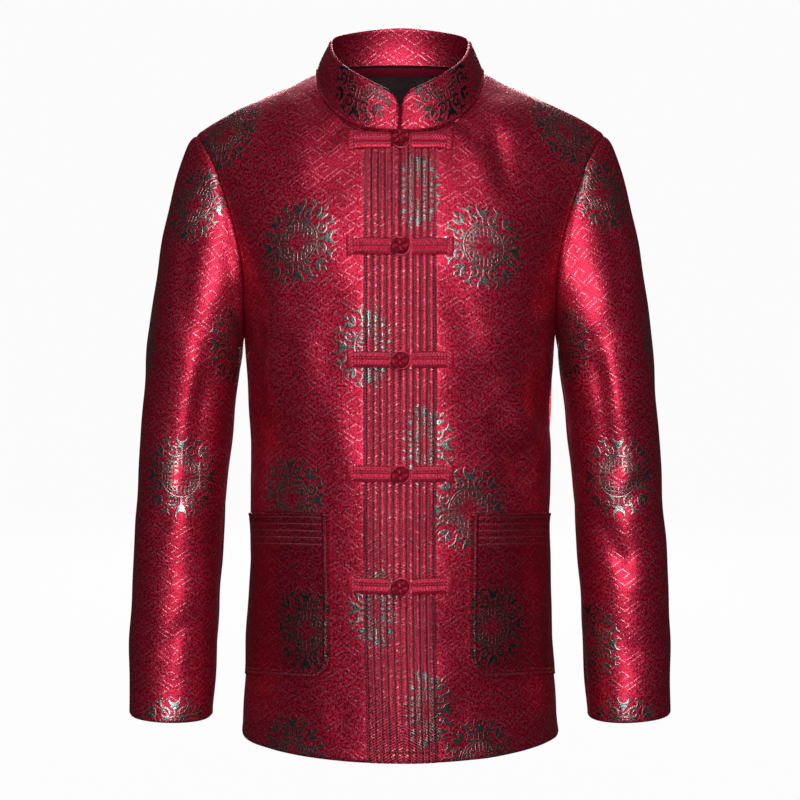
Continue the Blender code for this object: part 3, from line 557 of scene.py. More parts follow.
def neck_edge(points):
    """Thickness direction and upward binormal of the neckline seam."""
    along = unit(np.gradient(points, axis=0))
    outward = np.stack([along[:, 1], -along[:, 0], np.zeros(len(points))], axis=1)
    outward *= np.sign(np.sum(outward * points, axis=1, keepdims=True))
    outward = unit(outward)
    side = clamp(points[:, 0] / NECK_HALF_WIDTH)
    rise = (NECK_LEAN_CENTRE + (NECK_LEAN_SIDE - NECK_LEAN_CENTRE) * side ** 2)[:, None]
    direction = unit(outward * np.sqrt(1 - rise ** 2) + rise * np.array([0.0, 0.0, 1.0]))
    binormal = unit(np.cross(along, direction))
    return direction, binormal * np.sign(binormal[:, 2:3])


def shoulder_points(shares):
    """Points of the shoulder seam at shares of its length: a straight way with a crown."""
    start = np.array([NECK_HALF_WIDTH, 0.0, 0.0])
    points = start + shares[:, None] * (np.array(SHOULDER_TIP) - start)
    bow = shares ** SHOULDER_CROWN_SKEW * np.abs(np.sin(np.pi * shares)) ** SHOULDER_CROWN_ROUND
    points[:, 2] += SHOULDER_CROWN * bow
    return points


def shoulder_direction():
    """Thickness direction of the shoulder seam, square to it."""
    way = np.array(SHOULDER_TIP) - np.array([NECK_HALF_WIDTH, 0.0, 0.0])
    return unit(np.array([-way[2], 0.0, way[0]]))


def top_row(stations):
    """The panel's top edge with its thickness directions and its places."""
    line = neckline(stations.back)
    lengths = length_along(line)
    directions, _ = neck_edge(line)
    near = stations.shares[:NEAR_COLUMNS + 1] / NECK_SHARE
    free = lengths[-1] - stations.band_width
    wanted = np.concatenate((stations.band, stations.band_width + near * free))
    shares = (stations.shares[NEAR_COLUMNS + 1:] - NECK_SHARE) / (1 - NECK_SHARE)
    points = np.vstack((read_along(line, lengths, wanted), shoulder_points(shares)))
    shoulder = np.tile(shoulder_direction(), (len(shares), 1))
    directions = np.vstack((unit(read_along(directions, lengths, wanted)), shoulder))
    return points, directions, np.concatenate((wanted / lengths[-1], 1.0 + shares))


def panel_base(stations):
    """The plain cloth of half a body panel on +X: level rows of the torso, rows that end
    on the armhole's lower curve, then cubic columns up to the neckline and shoulder."""
    lower = np.linspace(HEM_Z + HEM_ROWS[-1], ARMPIT_Z, LOWER_ROWS + 2)[1:-1]
    levels = np.concatenate((HEM_Z + np.array(HEM_ROWS), lower))
    rows = [torso_row(stations, z, 0.0) for z in levels]
    for turn in np.linspace(0.0, np.pi / 2, ARMHOLE_ROWS):
        z = CHEST_Z - (CHEST_Z - ARMPIT_Z) * np.cos(turn)
        rows.append(torso_row(stations, z, ARMHOLE_HALF_DEPTH * np.sin(turn)))
    chest = rows[-1]
    below = torso_row(stations, CHEST_Z - PROBE, ARMHOLE_HALF_DEPTH)
    top, _, places = top_row(stations)
    reach = np.linalg.norm(top - chest, axis=1, keepdims=True)
    table = BACK_ARRIVALS if stations.back else FRONT_ARRIVALS
    facing = -1.0 if stations.back else 1.0
    out, over, up = [table_read(table, "place", name, places) for name in ("out", "over", "up")]
    arrive = unit(np.stack([out, facing * over, up], axis=1)) * reach
    steps = np.linspace(0.0, 1.0, UPPER_ROWS + 1)[1:]
    upper = hermite(chest, unit(chest - below) * reach, top, arrive, steps)
    return np.concatenate((np.stack(rows), upper))


def armhole_ring():
    """The armhole on +X: from the armpit up the front to the tip and down the back."""
    front = panel_base(Stations(back=False))[LOWER_ROW_COUNT:, -1]
    back = panel_base(Stations(back=True))[LOWER_ROW_COUNT:, -1]
    return np.vstack((front, back[-2:0:-1]))


def armhole_edge(ring):
    """Thickness direction of the armhole seam and the binormal towards the sleeve."""
    along = unit(np.roll(ring, -1, axis=0) - np.roll(ring, 1, axis=0))
    spread = ring - np.array([0.0, 0.0, ARMHOLE_MIDDLE_Z])
    spread[:, 0] = 0.0
    radial = unit(spread)
    lift = clamp((ring[:, 2] - ARMPIT_Z) / (SHOULDER_TIP[2] - ARMPIT_Z))
    tip_tilt = shoulder_direction()[0] / shoulder_direction()[2]
    radial[:, 0] = tip_tilt * lift ** 2
    direction = unit(radial)
    binormal = unit(np.cross(along, direction))
    return direction, binormal * np.sign(binormal[:, 0:1])


def crease_heights(points, piece):
    """Height of the creases at each point: along a bowed line in front view the height is
    a bell of the distance, rounded off at both ends and wavering along the line."""
    heights = np.zeros(points.shape[:-1])
    for number, crease in enumerate(CREASES):
        if crease.piece != piece:
            continue
        start = np.array([crease.start_x, crease.start_z])
        way = np.array([crease.end_x, crease.end_z]) - start
        size = np.hypot(*way)
        place = points[..., [0, 2]] - start
        run = place @ way / size ** 2
        share = clamp(run)
        side = (place[..., 0] * way[1] - place[..., 1] * way[0]) / size
        side = side - crease.bow * 4 * share * (1 - share)
        distance = np.hypot(side, (run - share) * size)
        facing = clamp(crease.face * points[..., 1] / CREASE_TURN)
        taper = np.sin(np.pi * np.clip(share, CREASE_END, 1 - CREASE_END)) ** CREASE_ROUND
        waver = 1 + CREASE_WAVER * np.sin(CREASE_WAVER_PACE * share + number)
        heights += crease.height * facing * taper * waver * bell(distance, crease.width)
    return heights


def wave_heights(u, v):
    """Slow uneven swell of the cloth: a sum of sine waves along u and v."""
    heights = np.zeros_like(u)
    for wave in WAVES:
        turns = wave.along_u * u + wave.along_v * v
        heights += wave.height * np.sin(2 * np.pi * turns + wave.phase)
    return heights


def tuck_phase(stations):
    """Place of each column inside its tuck, from 0 to 1, and its tuck's number."""
    columns = np.arange(len(stations.band) + 1)
    phase = columns % TUCK_COLUMNS / TUCK_COLUMNS
    return phase, np.minimum(columns // TUCK_COLUMNS, TUCKS - 1)


def ease(grid, free):
    """Draw each point towards the middle of its two neighbours in the row, over and over,
    as far as its freedom from 0 to 1 lets it: kinks that start at a seam die away."""
    eased = grid.copy()
    for _ in range(EASE_ROUNDS):
        middle = (eased[:, 2:] + eased[:, :-2]) / 2
        eased[:, 1:-1] += 0.5 * free[:, 1:-1, None] * (middle - eased[:, 1:-1])
    return eased


def panel_freedom(stations, base):
    """How freely each point of a panel may be eased: not at all by the tucks, the top edge
    and the side seam, and not below the armhole."""
    columns = np.arange(base.shape[1])
    across = clamp((columns - len(stations.band)) / EASE_TUCK_COLUMNS)
    if stations.back:
        across = np.ones(len(columns))
    across = across * clamp((len(columns) - 1 - columns) / EASE_SIDE_COLUMNS)
    below = np.linalg.norm(base[-1:] - base, axis=2)
    down = clamp(below / EASE_DEPTH) ** 2
    above = clamp((base[:, :1, 2] - ARMPIT_Z) / EASE_DEPTH)
    return across[None] * down * above


def half_panel(stations, cut):
    """Plain points, thickness directions, cloth coordinates and edge heights of half a
    panel on +X. Near a seam the direction turns into the seam's own and the cloth dips."""
    base = panel_base(stations)
    base = ease(base, panel_freedom(stations, base))
    u = running(base, 1)
    if not stations.back:
        u = u + FRONT_OPENING / 2
    v = HEM_Z + running(base, 0)
    to_side, to_top, to_hem = u[:, -1:] - u, v[-1:] - v, v - HEM_Z

    normals = grid_normals(base)
    if stations.back:
        normals = -normals
    normals[:, 0, 0] = 0.0
    _, top_directions, _ = top_row(stations)
    directions, binormals = armhole_edge(armhole_ring())
    order = np.arange(ARMHOLE_ROWS + UPPER_ROWS)
    if stations.back:
        order = -order
    weight = bell(to_top, SEAM_BLEND)[..., None]
    normals = normals * (1 - weight) + top_directions[None] * weight
    edge = np.tile([1.0, 0.0, 0.0], (len(base), 1))
    edge[LOWER_ROW_COUNT:] = directions[order]
    weight = bell(to_side, SEAM_BLEND)[..., None]
    normals = unit(normals * (1 - weight) + edge[:, None] * weight)

    seam_y = 1.0 if stations.back else -1.0
    base[-1, stations.neck_columns - 1:, 1] += seam_y * SEAM_GAP / 2
    base[:LOWER_ROW_COUNT + 1, -1, 1] += seam_y * SEAM_GAP / 2
    base[LOWER_ROW_COUNT:, -1] -= binormals[order] * SEAM_GAP / 2

    dip = bell(to_side, SIDE_DIP_REACH) + bell(to_top, TOP_DIP_REACH)
    heights = -cut.seam_dip * dip + bump(to_side, SEAM_SWELL)
    heights -= EDGE_ROLL * rolled(to_hem, EDGE_ROLL_REACH)
    heights += bump(to_hem, HEM_SWELL)
    return base, normals, u, v, heights


# Meshes

def corner_values(values, closed=False):
    """Values of the grid's cells at their four corners, in turning order."""
    if closed:
        values = closed_round(values)
    corners = (values[:-1, :-1], values[:-1, 1:], values[1:, 1:], values[1:, :-1])
    return np.stack(corners, axis=2)


def wall_faces(corners, inner, closed):
    """Corners of the outer sheet, the inner sheet and the rims of a wall."""
    sides = [(corners[0], inner[0], 0, 1), (corners[-1], inner[-1], 2, 3)]
    if not closed:
        sides += [(corners[:, 0], inner[:, 0], 3, 0), (corners[:, -1], inner[:, -1], 1, 2)]
    rims = [np.stack([o[:, b], o[:, a], i[:, a], i[:, b]], axis=1) for o, i, a, b in sides]
    tail = corners.shape[3:]
    outer_sheet = corners.reshape(-1, 4, *tail)
    inner_sheet = inner.reshape(-1, 4, *tail)[:, ::-1]
    return np.concatenate([outer_sheet, inner_sheet] + rims), len(outer_sheet), len(inner_sheet)


SHARP_ANGLE = np.radians(62)


def fill_mesh(name, points, faces, maps):
    """A mesh of quads with one UV map for each array of corner coordinates."""
    mesh = bpy.data.meshes.new(name)
    mesh.vertices.add(len(points))
    mesh.vertices.foreach_set("co", np.asarray(points, np.float32).ravel())
    mesh.loops.add(faces.size)
    mesh.loops.foreach_set("vertex_index", faces.astype(np.int32).ravel())
    mesh.polygons.add(len(faces))
    mesh.polygons.foreach_set("loop_start", np.arange(0, faces.size, 4, dtype=np.int32))
    for map_name, values in maps.items():
        layer = mesh.uv_layers.new(name=map_name)
        layer.data.foreach_set("uv", np.asarray(values, np.float32).ravel())
    mesh.update()
    mesh.validate()
    mesh.shade_smooth()
    mesh.set_sharp_from_angle(angle=SHARP_ANGLE)
    return mesh


def add_piece(mesh, finishes, replaced):
    """Put a mesh into the scene as a piece that stands for CAD nodes."""
    for finish in finishes:
        mesh.materials.append(finish)
    piece = bpy.data.objects.new(mesh.name, mesh)
    bpy.context.scene.collection.objects.link(piece)
    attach(piece, "root")
    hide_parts(replaced)
    return piece


def wall(name, outer, inner, maps, finishes, replaced, closed=False, trim=None):
    """A closed cloth wall between two grids, with the second finish on its inner side and
    the third on the outer cells that are marked as trim."""
    across = np.roll(outer, -1, axis=1) - outer
    facing = np.cross(across[:-1, :-1], (outer[1:] - outer[:-1])[:, :-1])
    if np.sum(facing * (outer - inner)[:-1, :-1]) < 0:
        outer, inner = outer[:, ::-1], inner[:, ::-1]
        maps = {key: values[:, ::-1][:, :, [1, 0, 3, 2]] for key, values in maps.items()}
        trim = None if trim is None else trim[:, ::-1]
    rows, columns = outer.shape[:2]
    index = np.arange(rows * columns).reshape(rows, columns)
    corners = corner_values(index, closed)
    faces, outside, inside = wall_faces(corners, corners + rows * columns, closed)
    spread = {key: wall_faces(values, values, closed)[0] for key, values in maps.items()}
    points = np.concatenate((outer.reshape(-1, 3), inner.reshape(-1, 3)))
    mesh = fill_mesh(name, points, faces, spread)
    kinds = np.zeros(len(faces), np.int32)
    if len(finishes) > 1:
        kinds[outside:outside + inside] = 1
    if trim is not None:
        kinds[:outside][trim.ravel()] = 2
    mesh.polygons.foreach_set("material_index", kinds)
    return add_piece(mesh, finishes, replaced)


def tube(path, normals, radius, sides):
    """A closed cord: a circle of the radius carried along a closed path, set square to it
    by the path's direction and the given normals."""
    along = unit(np.roll(path, -1, axis=0) - np.roll(path, 1, axis=0))
    first = unit(normals - np.sum(normals * along, axis=1, keepdims=True) * along)
    second = np.cross(along, first)
    turn = np.linspace(0.0, 2 * np.pi, sides, endpoint=False)[None, :, None]
    return path[:, None] + radius * (np.cos(turn) * first[:, None] + np.sin(turn) * second[:, None])


def cord_faces(rows, columns):
    """Quads of a grid that closes in both directions, facing out of the cord."""
    index = np.arange(rows * columns).reshape(rows, columns)
    return corner_values(np.vstack((index, index[:1])), closed=True).reshape(-1, 4)[:, ::-1]


def quad_area(grid):
    """Area of a grid of points, from the diagonals of its cells."""
    first = grid[1:, 1:] - grid[:-1, :-1]
    second = grid[1:, :-1] - grid[:-1, 1:]
    return float(np.linalg.norm(np.cross(first, second), axis=-1).sum() / 2)


def declare_cloth(grid, closed=False):
    """Work out the cut that the unfolded grid would give a piece: its longest row, its
    longest column and its area. Nothing is done with them."""
    if closed:
        grid = closed_round(grid)
    wide = np.linalg.norm(np.diff(grid, axis=1), axis=2).sum(axis=1).max()
    high = np.linalg.norm(np.diff(grid, axis=0), axis=2).sum(axis=0).max()
    area = min(quad_area(grid), wide * high)


FAR = 1.0


def medallion_map(uv_corners, centres):
    """Corner coordinates counted from the medallion centre that lies nearest to each cell."""
    centres = np.asarray(centres)
    away = np.linalg.norm(uv_corners.mean(axis=2)[:, :, None] - centres[None, None], axis=-1)
    return uv_corners - centres[away.argmin(axis=-1)][:, :, None]


def medallion_centres(piece, points, u, v, side=0):
    """Cloth coordinates of the medallions of a piece, read where the piece's points come
    nearest to their place in front view."""
    centres = []
    for medallion in MEDALLIONS:
        if medallion.piece != piece or medallion.x * side < 0:
            continue
        away = np.hypot(points[..., 0] - medallion.x, points[..., 2] - medallion.z)
        away = np.where(medallion.face * points[..., 1] < 0, FAR, away)
        place = np.unravel_index(away.argmin(), away.shape)
        lack = medallion.z - points[place][2]
        centres.append((u[place], v[place] + lack))
    return centres


# Materials

class Num:
    """A number that varies over a surface. Arithmetic on it adds Math nodes."""

    def __init__(self, paint, socket):
        self.paint = paint
        self.socket = socket

    def __add__(self, other):
        return self.paint.math("ADD", self, other)

    def __sub__(self, other):
        return self.paint.math("SUBTRACT", self, other)

    def __rsub__(self, other):
        return self.paint.math("SUBTRACT", other, self)

    def __mul__(self, other):
        return self.paint.math("MULTIPLY", self, other)

    def __truediv__(self, other):
        return self.paint.math("DIVIDE", self, other)

    def __neg__(self):
        return self.paint.math("MULTIPLY", self, -1.0)

    def __abs__(self):
        return self.paint.math("ABSOLUTE", self)

    __radd__ = __add__
    __rmul__ = __mul__


class Paint:
    """A material's node tree, with one method that adds a node of any type."""

    def __init__(self, name, constants=None):
        self.material = bpy.data.materials.new(name)
        self.material.use_nodes = True
        self.tree = self.material.node_tree
        self.shader = self.tree.nodes["Principled BSDF"]
        for key, value in (constants or {}).items():
            self.shader.inputs[key].default_value = value

    def node(self, kind, settings=None, inputs=None):
        """Add a node, set its settings, then its sockets' values or links."""
        made = self.tree.nodes.new(kind)
        for key, value in (settings or {}).items():
            setattr(made, key, value)
        for key, value in (inputs or {}).items():
            self.feed(made.inputs[key], value)
        return made

    def feed(self, socket, value):
        """Give a socket a link or a plain value."""
        if isinstance(value, Num):
            value = value.socket
        if isinstance(value, bpy.types.NodeSocket):
            self.tree.links.new(value, socket)
        else:
            socket.default_value = value

    def math(self, operation, *values):
        """A Math node of the operation on numbers or varying numbers."""
        made = self.node("ShaderNodeMath", {"operation": operation}, dict(enumerate(values)))
        return Num(self, made.outputs[0])

    def least(self, *values):
        """The smallest of several varying numbers."""
        return reduce(lambda found, value: self.math("MINIMUM", found, value), values)

    def most(self, *values):
        """The largest of several varying numbers."""
        return reduce(lambda found, value: self.math("MAXIMUM", found, value), values)

    def share(self, value):
        """A varying number held between 0 and 1."""
        made = self.node("ShaderNodeClamp", {}, {"Value": value})
        return Num(self, made.outputs[0])

    def inside(self, distance, soft):
        """1 where a signed distance is below zero and 0 beyond it, over a soft edge."""
        return self.share(0.5 - distance / soft)

    def map_parts(self, name):
        """The two coordinates of the piece's UV map of that name."""
        found = self.node("ShaderNodeUVMap", {"uv_map": name})
        parts = self.node("ShaderNodeSeparateXYZ", {}, {"Vector": found.outputs["UV"]})
        return Num(self, parts.outputs["X"]), Num(self, parts.outputs["Y"])

    def vector(self, x, y):
        """A flat vector's socket from two numbers."""
        return self.node("ShaderNodeCombineXYZ", {}, {"X": x, "Y": y}).outputs[0]

    def away(self, vector, point):
        """Distance of a vector from a fixed point."""
        made = self.node(
            "ShaderNodeVectorMath", {"operation": "DISTANCE"}, {0: vector, 1: (*point, 0.0)}
        )
        return Num(self, made.outputs["Value"])

    def noise(self, vector, scale, detail=2.0, rough=0.5):
        """Noise of the scale, between 0 and 1."""
        made = self.node(
            "ShaderNodeTexNoise",
            {"noise_dimensions": "3D"},
            {"Vector": vector, "Scale": scale, "Detail": detail, "Roughness": rough},
        )
        return Num(self, made.outputs["Fac"])

    def blend(self, factor, first, second):
        """A colour between two colours."""
        made = self.node("ShaderNodeMix", {"data_type": "RGBA"}, {"Factor": factor})
        for key, value in (("A_Color", first), ("B_Color", second)):
            socket = next(s for s in made.inputs if s.identifier == key)
            self.feed(socket, value)
        return next(s for s in made.outputs if s.identifier == "Result_Color")

    def relief(self, height, distance):
        """Raise the surface by a varying height, seen only in its shading."""
        made = self.node(
            "ShaderNodeBump", {}, {"Height": height, "Distance": distance, "Strength": 1.0}
        )
        self.feed(self.shader.inputs["Normal"], made.outputs[0])

    def finish(self, values):
        """Feed the shader's varying sockets and hand the material over."""
        for key, value in values.items():
            self.feed(self.shader.inputs[key], value)
        return self.material


def rgba(colour, scale=1.0):
    """A colour with full alpha, made lighter or darker by a scale."""
    return (*[min(1.0, channel * scale) for channel in colour], 1.0)


# One hook of the fret on a unit cell, as boxes: middle, then half size, along both axes.
FRET_HOOK = (
    (0.50, 0.10, 0.40, 0.0),
    (0.90, 0.46, 0.0, 0.36),
    (0.62, 0.82, 0.28, 0.0),
    (0.34, 0.62, 0.0, 0.20),
    (0.48, 0.42, 0.14, 0.0),
)
FRET_SLOPE = float(np.tan(np.radians(33.0)))
FRET_LINE, FRET_SOFT = 0.028, 0.03


def fret_lines(paint, u, v, cell):
    """Interlocking hooks: each cell of a slanted lattice holds a squared spiral, turned
    half round in every other cell; the lines are thin boxes about its five strokes."""
    s = (u + v / FRET_SLOPE) / (2 * cell)
    t = (u - v / FRET_SLOPE) / (2 * cell)
    s_cell, t_cell = paint.math("FLOOR", s), paint.math("FLOOR", t)
    odd = paint.math("FLOORED_MODULO", s_cell + t_cell, 2.0)
    s, t = s - s_cell, t - t_cell
    s = s + odd * (1 - 2 * s)
    t = t + odd * (1 - 2 * t)
    strokes = [
        paint.most(abs(s - middle_s) - half_s, abs(t - middle_t) - half_t)
        for middle_s, middle_t, half_s, half_t in FRET_HOOK
    ]
    return paint.inside(paint.least(*strokes) - FRET_LINE, FRET_SOFT)


def leaf(paint, place, start, end, half_width):
    """Signed distance to a pointed leaf: the overlap of two equal discs whose edges cross
    at its two ends."""
    start, end = np.array(start), np.array(end)
    half = np.linalg.norm(end - start) / 2
    radius = (half ** 2 + half_width ** 2) / (2 * half_width)
    across = np.array([start[1] - end[1], end[0] - start[0]]) / (2 * half)
    middle, offset = (start + end) / 2, radius - half_width
    first = paint.away(place, tuple(middle + across * offset))
    second = paint.away(place, tuple(middle - across * offset))
    return paint.most(first, second) - radius


def polar(radius, degrees):
    """A point from its distance and angle."""
    return radius * np.cos(np.radians(degrees)), radius * np.sin(np.radians(degrees))


# Parts of the medallion, which is a disc of radius 1: places are a distance from the
# middle and an angle in degrees, and the rest are radii, half widths and slopes.
RING, RING_LINE = 0.475, 0.016
CURL_AT, CURL, CURL_LINE = (0.620, 22.0), 0.108, 0.026
CURL_GAP_AT, CURL_GAP = (0.70, 33.0), 0.085
CURL_END_AT, CURL_END = (0.655, 24.0), 0.040
HORN_AT, HORN = (0.865, 0.0), 0.150
HORN_GAP_AT, HORN_GAP = (0.925, 0.0), 0.118
STEM_LINE, STEM_AT, STEM_REACH = 0.030, 0.61, 0.13
BARB_AT, BARB_SLOPE, BARB_REACH, BARB = 0.715, 1.3, 0.115, 0.10
ARROW_ANGLE, ARROW_AT, ARROW = 24.0, 0.875, 0.125
NOTCH_TURNS, NOTCH_AWAY, NOTCH = (0.0, 120.0, 240.0), 0.165, 0.125
BUD = ((0.66, 44.0), (0.90, 36.5), 0.052)
STUB = ((0.86, 45.0), (1.00, 45.0), 0.036)
ORNAMENT_SOFT = 0.018
KEYS, KEY_A_LINE, KEY_B_LINE, BAR_START, POST_START = 10.5, 0.23, 0.20, 0.10, 0.24
DISC, DISC_SLOPE, DISC_SOFT, DISC_SHARE = 0.43, 4, 0.10, 0.92


def medallion_shape(paint, x, y, radius):
    """A generic round ornament, equal in its eight parts: a fretted disc and its ring,
    curls, horned stems on the axes, three-pointed leaves and buds on the diagonals."""
    x, y = abs(x) / radius, abs(y) / radius
    a, b = paint.most(x, y), paint.least(x, y)
    place = paint.vector(a, b)
    from_middle = paint.away(place, (0.0, 0.0))

    ring = abs(from_middle - RING) - RING_LINE
    curl = paint.most(
        abs(paint.away(place, polar(*CURL_AT)) - CURL) - CURL_LINE,
        CURL_GAP - paint.away(place, polar(*CURL_GAP_AT)),
    )
    curl = paint.least(curl, paint.away(place, polar(*CURL_END_AT)) - CURL_END)
    horn = paint.most(
        paint.away(place, HORN_AT) - HORN, HORN_GAP - paint.away(place, HORN_GAP_AT), a - 1.0
    )
    stem = paint.most(b - STEM_LINE, abs(a - STEM_AT) - STEM_REACH)
    barb = paint.most(abs(a - BARB_AT) * BARB_SLOPE + b - BARB_REACH, b - BARB)
    tip = polar(ARROW_AT, ARROW_ANGLE)
    notches = [
        NOTCH - paint.away(place, (tip[0] + NOTCH_AWAY * c, tip[1] + NOTCH_AWAY * s))
        for c, s in (polar(1.0, ARROW_ANGLE + turn) for turn in NOTCH_TURNS)
    ]
    arrow = paint.most(paint.away(place, tip) - ARROW, *notches)
    leaves = [
        leaf(paint, place, polar(*start), polar(*end), width)
        for start, end, width in (BUD, STUB)
    ]
    ornament = paint.least(ring, curl, horn, stem, barb, arrow, *leaves)

    key_a = abs(paint.math("FRACT", a * KEYS) - 0.5) - KEY_A_LINE
    key_b = abs(paint.math("FRACT", b * KEYS + 0.5) - 0.5) - KEY_B_LINE
    keys = paint.least(paint.most(key_a, BAR_START - b), paint.most(key_b, POST_START - a))
    disc = paint.most(keys, (from_middle - DISC) * DISC_SLOPE)
    fret = paint.inside(disc, DISC_SOFT) * DISC_SHARE
    return paint.most(paint.inside(ornament, ORNAMENT_SOFT), fret)


PUCKER_REACH, PUCKER_SLANT = 0.0036, 1500.0
DASH_HALF, DASH_SOFT = 0.30, 0.12
THREAD_HALF, THREAD_SOFT = 0.00042, 0.0003
SHADE_HALF, SHADE_SOFT = 0.00035, 0.0006


def stitch_marks(paint, pitch):
    """Thread of the stitch lines, the slanting puckers beside them and the mask of painted
    shade in their groove, from the stitch map: its first coordinate is the distance to the
    line and its second the way along it. The puckers are a signed wave, used for relief,
    and in the brocade also for painted shade in their troughs and a painted highlight on
    their crests."""
    side, run = paint.map_parts("stitch")
    gap = abs(side)
    from_middle = abs(paint.math("FRACT", run / pitch) - 0.5)
    thread = paint.inside(gap - THREAD_HALF, THREAD_SOFT)
    thread = thread * paint.inside(from_middle - DASH_HALF, DASH_SOFT)
    near = paint.share(1 - gap / PUCKER_REACH)
    wave = paint.math("COSINE", run * (2 * np.pi / pitch) + side * PUCKER_SLANT)
    return thread, near * wave, paint.inside(gap - SHADE_HALF, SHADE_SOFT)


# The brocade. Scales are in turns a metre, and shares are of the colour or the noise.
SATIN_GLOSS = 0.35
GRAIN, GRAIN_STRETCH, GRAIN_ROUGH = 620.0, 0.7, 0.6
SPECK, CLOUD, DASHES = 330.0, 34.0, 480.0
DASH_GAIN, DASH_LOSS = 6, 2.4
YARN_GAIN, YARN_LOSS = 6, 1.2
GRAIN_FLECKS, SPECK_FLECKS = 6.0, 2.5
GROUND_DARK, GROUND_LIGHT = 0.30, 1.75
CLOUD_SHARE, CLOUD_DARK = 0.7, 0.75
LINE_SHARE = 0.44
BROCADE_ROUGH, FLECK_ROUGH, LINE_ROUGH, YARN_ROUGH = 0.37, 0.14, 0.14, 0.14
BROCADE_METAL, LINE_METAL, YARN_METAL = 0.78, 0.15, 0.22
GRAIN_RISE, SPECK_RISE, LINE_RISE, YARN_RISE = 0.8, 0.7, 0.4, 0.8
# Painted shade in stitched grooves and pucker troughs, and a painted highlight on pucker crests.
SEAM_SHADE, SEAM_DARK = 0.75, 0.12
TROUGH_SHADE, TROUGH_DARK = 0.75, 0.15
CREST_HIGHLIGHT = 0.30
THREAD_SHARE, THREAD_LIGHT = 0.5, 0.8
PUCKER_RISE, THREAD_RISE = 2.4, 1.6
BROCADE_RELIEF = 0.00026


def brocade(name, cut, colours, sewn, lightness=1.0, yarn_lightness=1.0):
    """Crimson satin with a fine grain, woven fret lines and grey green medallions. Sewn is
    how hard the stitches pull the cloth, from 0, where there are none, to 1; the stitches
    add painted shade in their groove and pucker troughs and a painted highlight on the
    pucker crests. Lightness and yarn lightness scale the satin and the yarn: below 1 they
    are painted shade, on the collar and the pockets."""
    paint = Paint(name, {"Specular IOR Level": SATIN_GLOSS})
    u, v = paint.map_parts("cloth")
    place = paint.vector(u, v)
    grain = paint.noise(paint.vector(u, v * GRAIN_STRETCH), GRAIN, 2.0, GRAIN_ROUGH)
    speck = paint.noise(place, SPECK, 1.0)
    cloud = paint.noise(place, CLOUD, 3.0)
    dashes = paint.share(paint.noise(place, DASHES, 0.0) * DASH_GAIN - DASH_LOSS)
    lines = fret_lines(paint, u, v, cut.fret_cell) * dashes
    x, y = paint.map_parts("medallion")
    yarn = medallion_shape(paint, x, y, cut.medallion_radius)
    yarn = yarn * paint.share(grain * YARN_GAIN - YARN_LOSS)
    lines = lines * (1 - yarn)

    def tinted(scale):
        return rgba(colours.satin, scale * lightness)

    flecks = (grain - 0.5) * GRAIN_FLECKS + (speck - 0.5) * SPECK_FLECKS + 0.5
    flecks = paint.share(flecks)
    ground = paint.blend(flecks, tinted(GROUND_DARK), tinted(GROUND_LIGHT))
    ground = paint.blend(paint.share(cloud * CLOUD_SHARE), ground, tinted(CLOUD_DARK))
    ground = paint.blend(lines * LINE_SHARE, ground, rgba(colours.sheen, lightness))
    colour = paint.blend(yarn, ground, rgba(colours.yarn, yarn_lightness))
    rough = BROCADE_ROUGH + flecks * FLECK_ROUGH - lines * LINE_ROUGH - yarn * YARN_ROUGH
    height = grain * GRAIN_RISE + speck * SPECK_RISE + lines * LINE_RISE + yarn * YARN_RISE
    metal = BROCADE_METAL + lines * LINE_METAL + yarn * YARN_METAL
    if sewn:
        thread, pucker, shade = stitch_marks(paint, cut.stitch_pitch)
        pucker = pucker * sewn
        trough, crest_highlight = paint.share(-pucker), paint.share(pucker)
        # Painted shade in the stitched groove and the pucker troughs, a painted highlight on the
        # pucker crests, then the thread's own colour.
        colour = paint.blend(shade * SEAM_SHADE, colour, rgba(colours.satin, SEAM_DARK))
        colour = paint.blend(trough * TROUGH_SHADE, colour, rgba(colours.satin, TROUGH_DARK))
        colour = paint.blend(crest_highlight * CREST_HIGHLIGHT, colour, rgba(colours.sheen))
        colour = paint.blend(thread * THREAD_SHARE, colour, rgba(colours.sheen, THREAD_LIGHT))
        height = height + pucker * PUCKER_RISE + thread * THREAD_RISE
    paint.relief(height, BROCADE_RELIEF)
    return paint.finish({"Base Color": colour, "Roughness": rough, "Metallic": metal})


# The lining: its weave's pace, in radians a metre, and its noise, shades and gloss.
LINING_WEAVE, LINING_CLOUD = 5200.0, 60.0
LINING_DARK, LINING_LIGHT = 0.7, 1.4
LINING_ROUGH, LINING_ROUGH_STEP = 0.42, 0.12
LINING_WEAVE_RISE, LINING_RELIEF = 0.3, 0.0002


def lining(name, colours):
    """Smooth dark lining with a faint weave: the product of a sine along and across. Its
    near-black colour is partly the lining's own and partly painted shade of the jacket's inside.
    """
    paint = Paint(name)
    u, v = paint.map_parts("cloth")
    weave = paint.math("SINE", u * LINING_WEAVE) * paint.math("SINE", v * LINING_WEAVE)
    cloud = paint.noise(paint.vector(u, v), LINING_CLOUD)
    dark, light = rgba(colours.lining, LINING_DARK), rgba(colours.lining, LINING_LIGHT)
    paint.relief(weave * LINING_WEAVE_RISE + cloud, LINING_RELIEF)
    rough = LINING_ROUGH + cloud * LINING_ROUGH_STEP
    return paint.finish({"Base Color": paint.blend(cloud, dark, light), "Roughness": rough})


